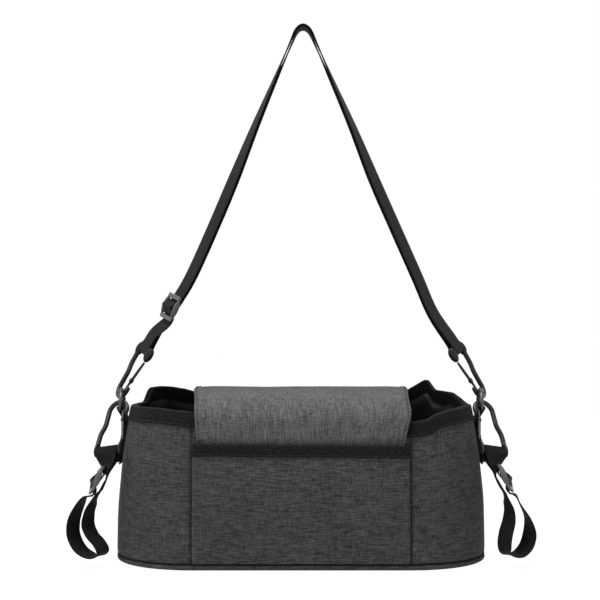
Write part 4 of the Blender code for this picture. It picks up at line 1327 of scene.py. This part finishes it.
def makeHardware():
    hookShape, gateShape, sliderShape = hookTemplate(), gateTemplate(), sliderTemplate()
    for word, side in bothSides:
        for kind, place, body in (("shoulder", shoulderPlace(side), "bag"),
                                  ("stroller", strollerPlace(side), f"{word}_stroller_strap")):
            placeCopy(hookShape, f"{kind}_snap_{word}", place, "plastic",
                      f"{kind}_hook_{word}", body)
            placeCopy(gateShape, f"{kind}_latch_{word}", place, "plastic", f"{kind}_gate_{word}",
                      f"{word}_{kind}_gate")
        placeCopy(sliderShape, f"loop_slider_{word}", loopSliderPlace(side), "slider",
                  f"stroller_slider_{word}", f"{word}_stroller_strap")
    placeCopy(sliderShape, "strap_slider", strapSliderPlace(), "slider", "shoulder_slider")
    for template in (hookShape, gateShape, sliderShape):
        bpy.data.objects.remove(template)
    print("hooks and sliders done")


# The straps, as places that the webbing passes and the way its width points at each

strap = {"top": 0.5298, "topX": 0.002, "turn": 0.16, "widthWay": (0.405, -0.900, -0.180),
         "legWay": (0.400, 0.0, 0.9165), "slider": (0.0263, -0.0076, 0.0442),
         "loopSlider": {left: (-0.0112, -0.0092, -0.0289), right: (0.0112, -0.0092, -0.0269)}}
# Shares of the way across and up from the slider to the top, and down again to the right hook
leftLeg = [
    (0.1623, 0.1144), (0.3321, 0.2931), (0.4755, 0.4539), (0.6377, 0.6433), (0.7925, 0.8149),
    (0.9034, 0.9364), (0.9502, 0.9846),
]
rightLeg = [
    (0.9557, 0.9867), (0.9141, 0.9451), (0.8178, 0.8403), (0.6811, 0.6923), (0.5411, 0.5289),
    (0.4077, 0.3840), (0.2645, 0.2298), (0.1636, 0.1188),
]
# How webbing runs through a slider, and how its sewn end wraps the middle bar, as along and out
under = slider["bar"] + wrap + 0.0003
through = [(-slider["pitch"], -under), (-slider["pitch"] * 0.5, under * 0.35),
           (0.0, under + webbing["thick"] + tub["gap"]), (slider["pitch"] * 0.5, under * 0.35),
           (slider["pitch"], -under)]
sewn = [(0.0006, under), (-under * 0.72, under * 0.72), (-under, 0.0),
        (-under * 0.72, -under * 0.72), (0.0006, -under - 0.0002),
        (slider["pitch"], -under - webbing["pitch"])]


def barTurn(place, start, count=5):
    reach = hook["bar"] + wrap
    result = []
    for step in range(count):
        angle = math.pi * step / (count - 1)
        result.append((place.at(reach * math.sin(angle), start * reach * math.cos(angle)), place.u))
    return result


def strapSliderPlace():
    place = shoulderPlace(left).origin + Vector(strap["slider"])
    return Place(place, strap["widthWay"], strap["legWay"], (-1.0, 0.0, 0.4))


def strapMiddle():
    buckle, snap = strapSliderPlace().origin, shoulderPlace(right).origin
    topX, topZ = strap["topX"], strap["top"]

    def leg(foot, shares):
        return [Vector((foot.x + (topX - foot.x) * across, 0.0, foot.z + (topZ - foot.z) * up))
                for across, up in shares]

    points = [*leg(buckle, leftLeg), Vector((topX, 0.0, topZ)), *leg(snap, rightLeg)]
    result = []
    for index, point in enumerate(points):
        along = heading(points, index)
        turned = clamp01((topZ - point.z) / strap["turn"])
        side = 1.0 if point.x < topX else -1.0
        across, forward, down = strap["widthWay"]
        width = Vector((side * across * turned, -1.0 + (1.0 + forward) * turned, down * turned))
        width = (width - width.dot(along) * along).normalized()
        normal = width.cross(along)
        if normal.dot(point - Vector((topX, 0.0, 0.3))) < 0.0:
            normal = -normal
        result.append((point, width, normal))
    return result


def makeShoulderStrap():
    start, end, buckle = shoulderPlace(left), shoulderPlace(right), strapSliderPlace()
    middle = strapMiddle()
    half, pitch = webbing["pitch"] / 2.0, slider["pitch"]
    stations = [
        *start.stops([(-0.024, -0.0012), (-0.010, -0.0018)]),
        *barTurn(start, -1.0),
        *start.stops([(-0.010, 0.0018), (-0.020, 0.0012)]),
        *buckle.stops([(-pitch - 0.006, -under), *through]),
        *((point + normal * half, width) for point, width, normal in middle),
        *end.stops([(-0.012, 0.0019)]),
        *barTurn(end, 1.0),
        *end.stops([(-0.012, -0.0019)]),
        *((point - normal * half, width) for point, width, normal in reversed(middle)),
        *buckle.stops(reversed(sewn)),
    ]
    piece = ribbon("shoulder_webbing", stations)
    dress(piece, "webbing", ["shoulder_strap"])
    print("shoulder strap done")


# Each hanging loop: places from its slider, and how far the webbing's width leans
leftLoop = [
    (-0.0090, -0.0050, -0.0160, -0.15), (-0.0150, -0.0080, -0.0250, -0.28),
    (-0.0196, -0.0110, -0.0370, -0.36), (-0.0202, -0.0130, -0.0490, -0.36),
    (-0.0163, -0.0140, -0.0595, -0.36), (-0.0100, -0.0150, -0.0668, -0.36),
    (-0.0010, -0.0160, -0.0708, -0.36), (0.0065, -0.0160, -0.0695, -0.36),
    (0.0085, -0.0160, -0.0650, -0.36), (0.0045, -0.0150, -0.0580, -0.36),
    (-0.0020, -0.0140, -0.0505, -0.36), (-0.0060, -0.0120, -0.0410, -0.36),
    (-0.0045, -0.0100, -0.0290, -0.30), (0.0005, -0.0060, -0.0180, -0.15),
]
rightLoop = [
    (0.0085, -0.0050, -0.0160, -0.12), (0.0130, -0.0080, -0.0250, -0.05),
    (0.0189, -0.0110, -0.0372, 0.12), (0.0209, -0.0130, -0.0510, 0.36),
    (0.0180, -0.0140, -0.0625, 0.40), (0.0115, -0.0150, -0.0700, 0.40),
    (0.0045, -0.0160, -0.0720, 0.40), (-0.0015, -0.0160, -0.0695, 0.40),
    (-0.0035, -0.0150, -0.0625, 0.40), (-0.0022, -0.0140, -0.0520, 0.40),
    (0.0010, -0.0120, -0.0400, 0.36), (0.0013, -0.0090, -0.0290, 0.25),
    (-0.0015, -0.0060, -0.0190, 0.10),
]


def loopSliderPlace(side):
    snap = strollerPlace(side)
    place = snap.origin + Vector(strap["loopSlider"][side])
    return Place(place, (-side * 0.15, -0.98, 0.0), snap.origin - place, (side, 0.0, 0.4))


def makeStrollerStraps():
    for word, side, loop in (("left", left, leftLoop), ("right", right, rightLoop)):
        snap, buckle, pitch = strollerPlace(side), loopSliderPlace(side), slider["pitch"]
        hanging = [(buckle.origin + Vector((x, y, z)), (lean, -math.sqrt(1.0 - lean * lean), 0.0))
                   for x, y, z, lean in reversed(loop)]
        stations = [
            *buckle.stops(sewn),
            *snap.stops([(-0.008, 0.0024)]),
            *barTurn(snap, 1.0),
            *snap.stops([(-0.008, -0.0032)]),
            *buckle.stops([(pitch, -0.0082), (0.0, -0.0084), (-pitch, -0.0078)]),
            *hanging,
            *buckle.stops([(-pitch - 0.005, -under), *through, (pitch + 0.005, -under)]),
        ]
        piece = ribbon(f"loop_webbing_{word}", stations)
        dress(piece, "webbing", [f"stroller_strap_{word}"], f"{word}_stroller_strap")
    print("stroller straps done")


def finishNodes():
    # the stiffening board keeps its solid and takes a better finish
    board = bpy.data.objects.get("base_board")
    if board:
        board.data.materials.clear()
        board.data.materials.append(looks["board"])


makeStudio()
looks = makeMaterials()
makeTub()
makeBase()
makeRimBinding()
makePocket()
makeFlap()
makeLining()
makeDividers()
makeTabs()
makeRings()
makeHardware()
makeShoulderStrap()
makeStrollerStraps()
finishNodes()
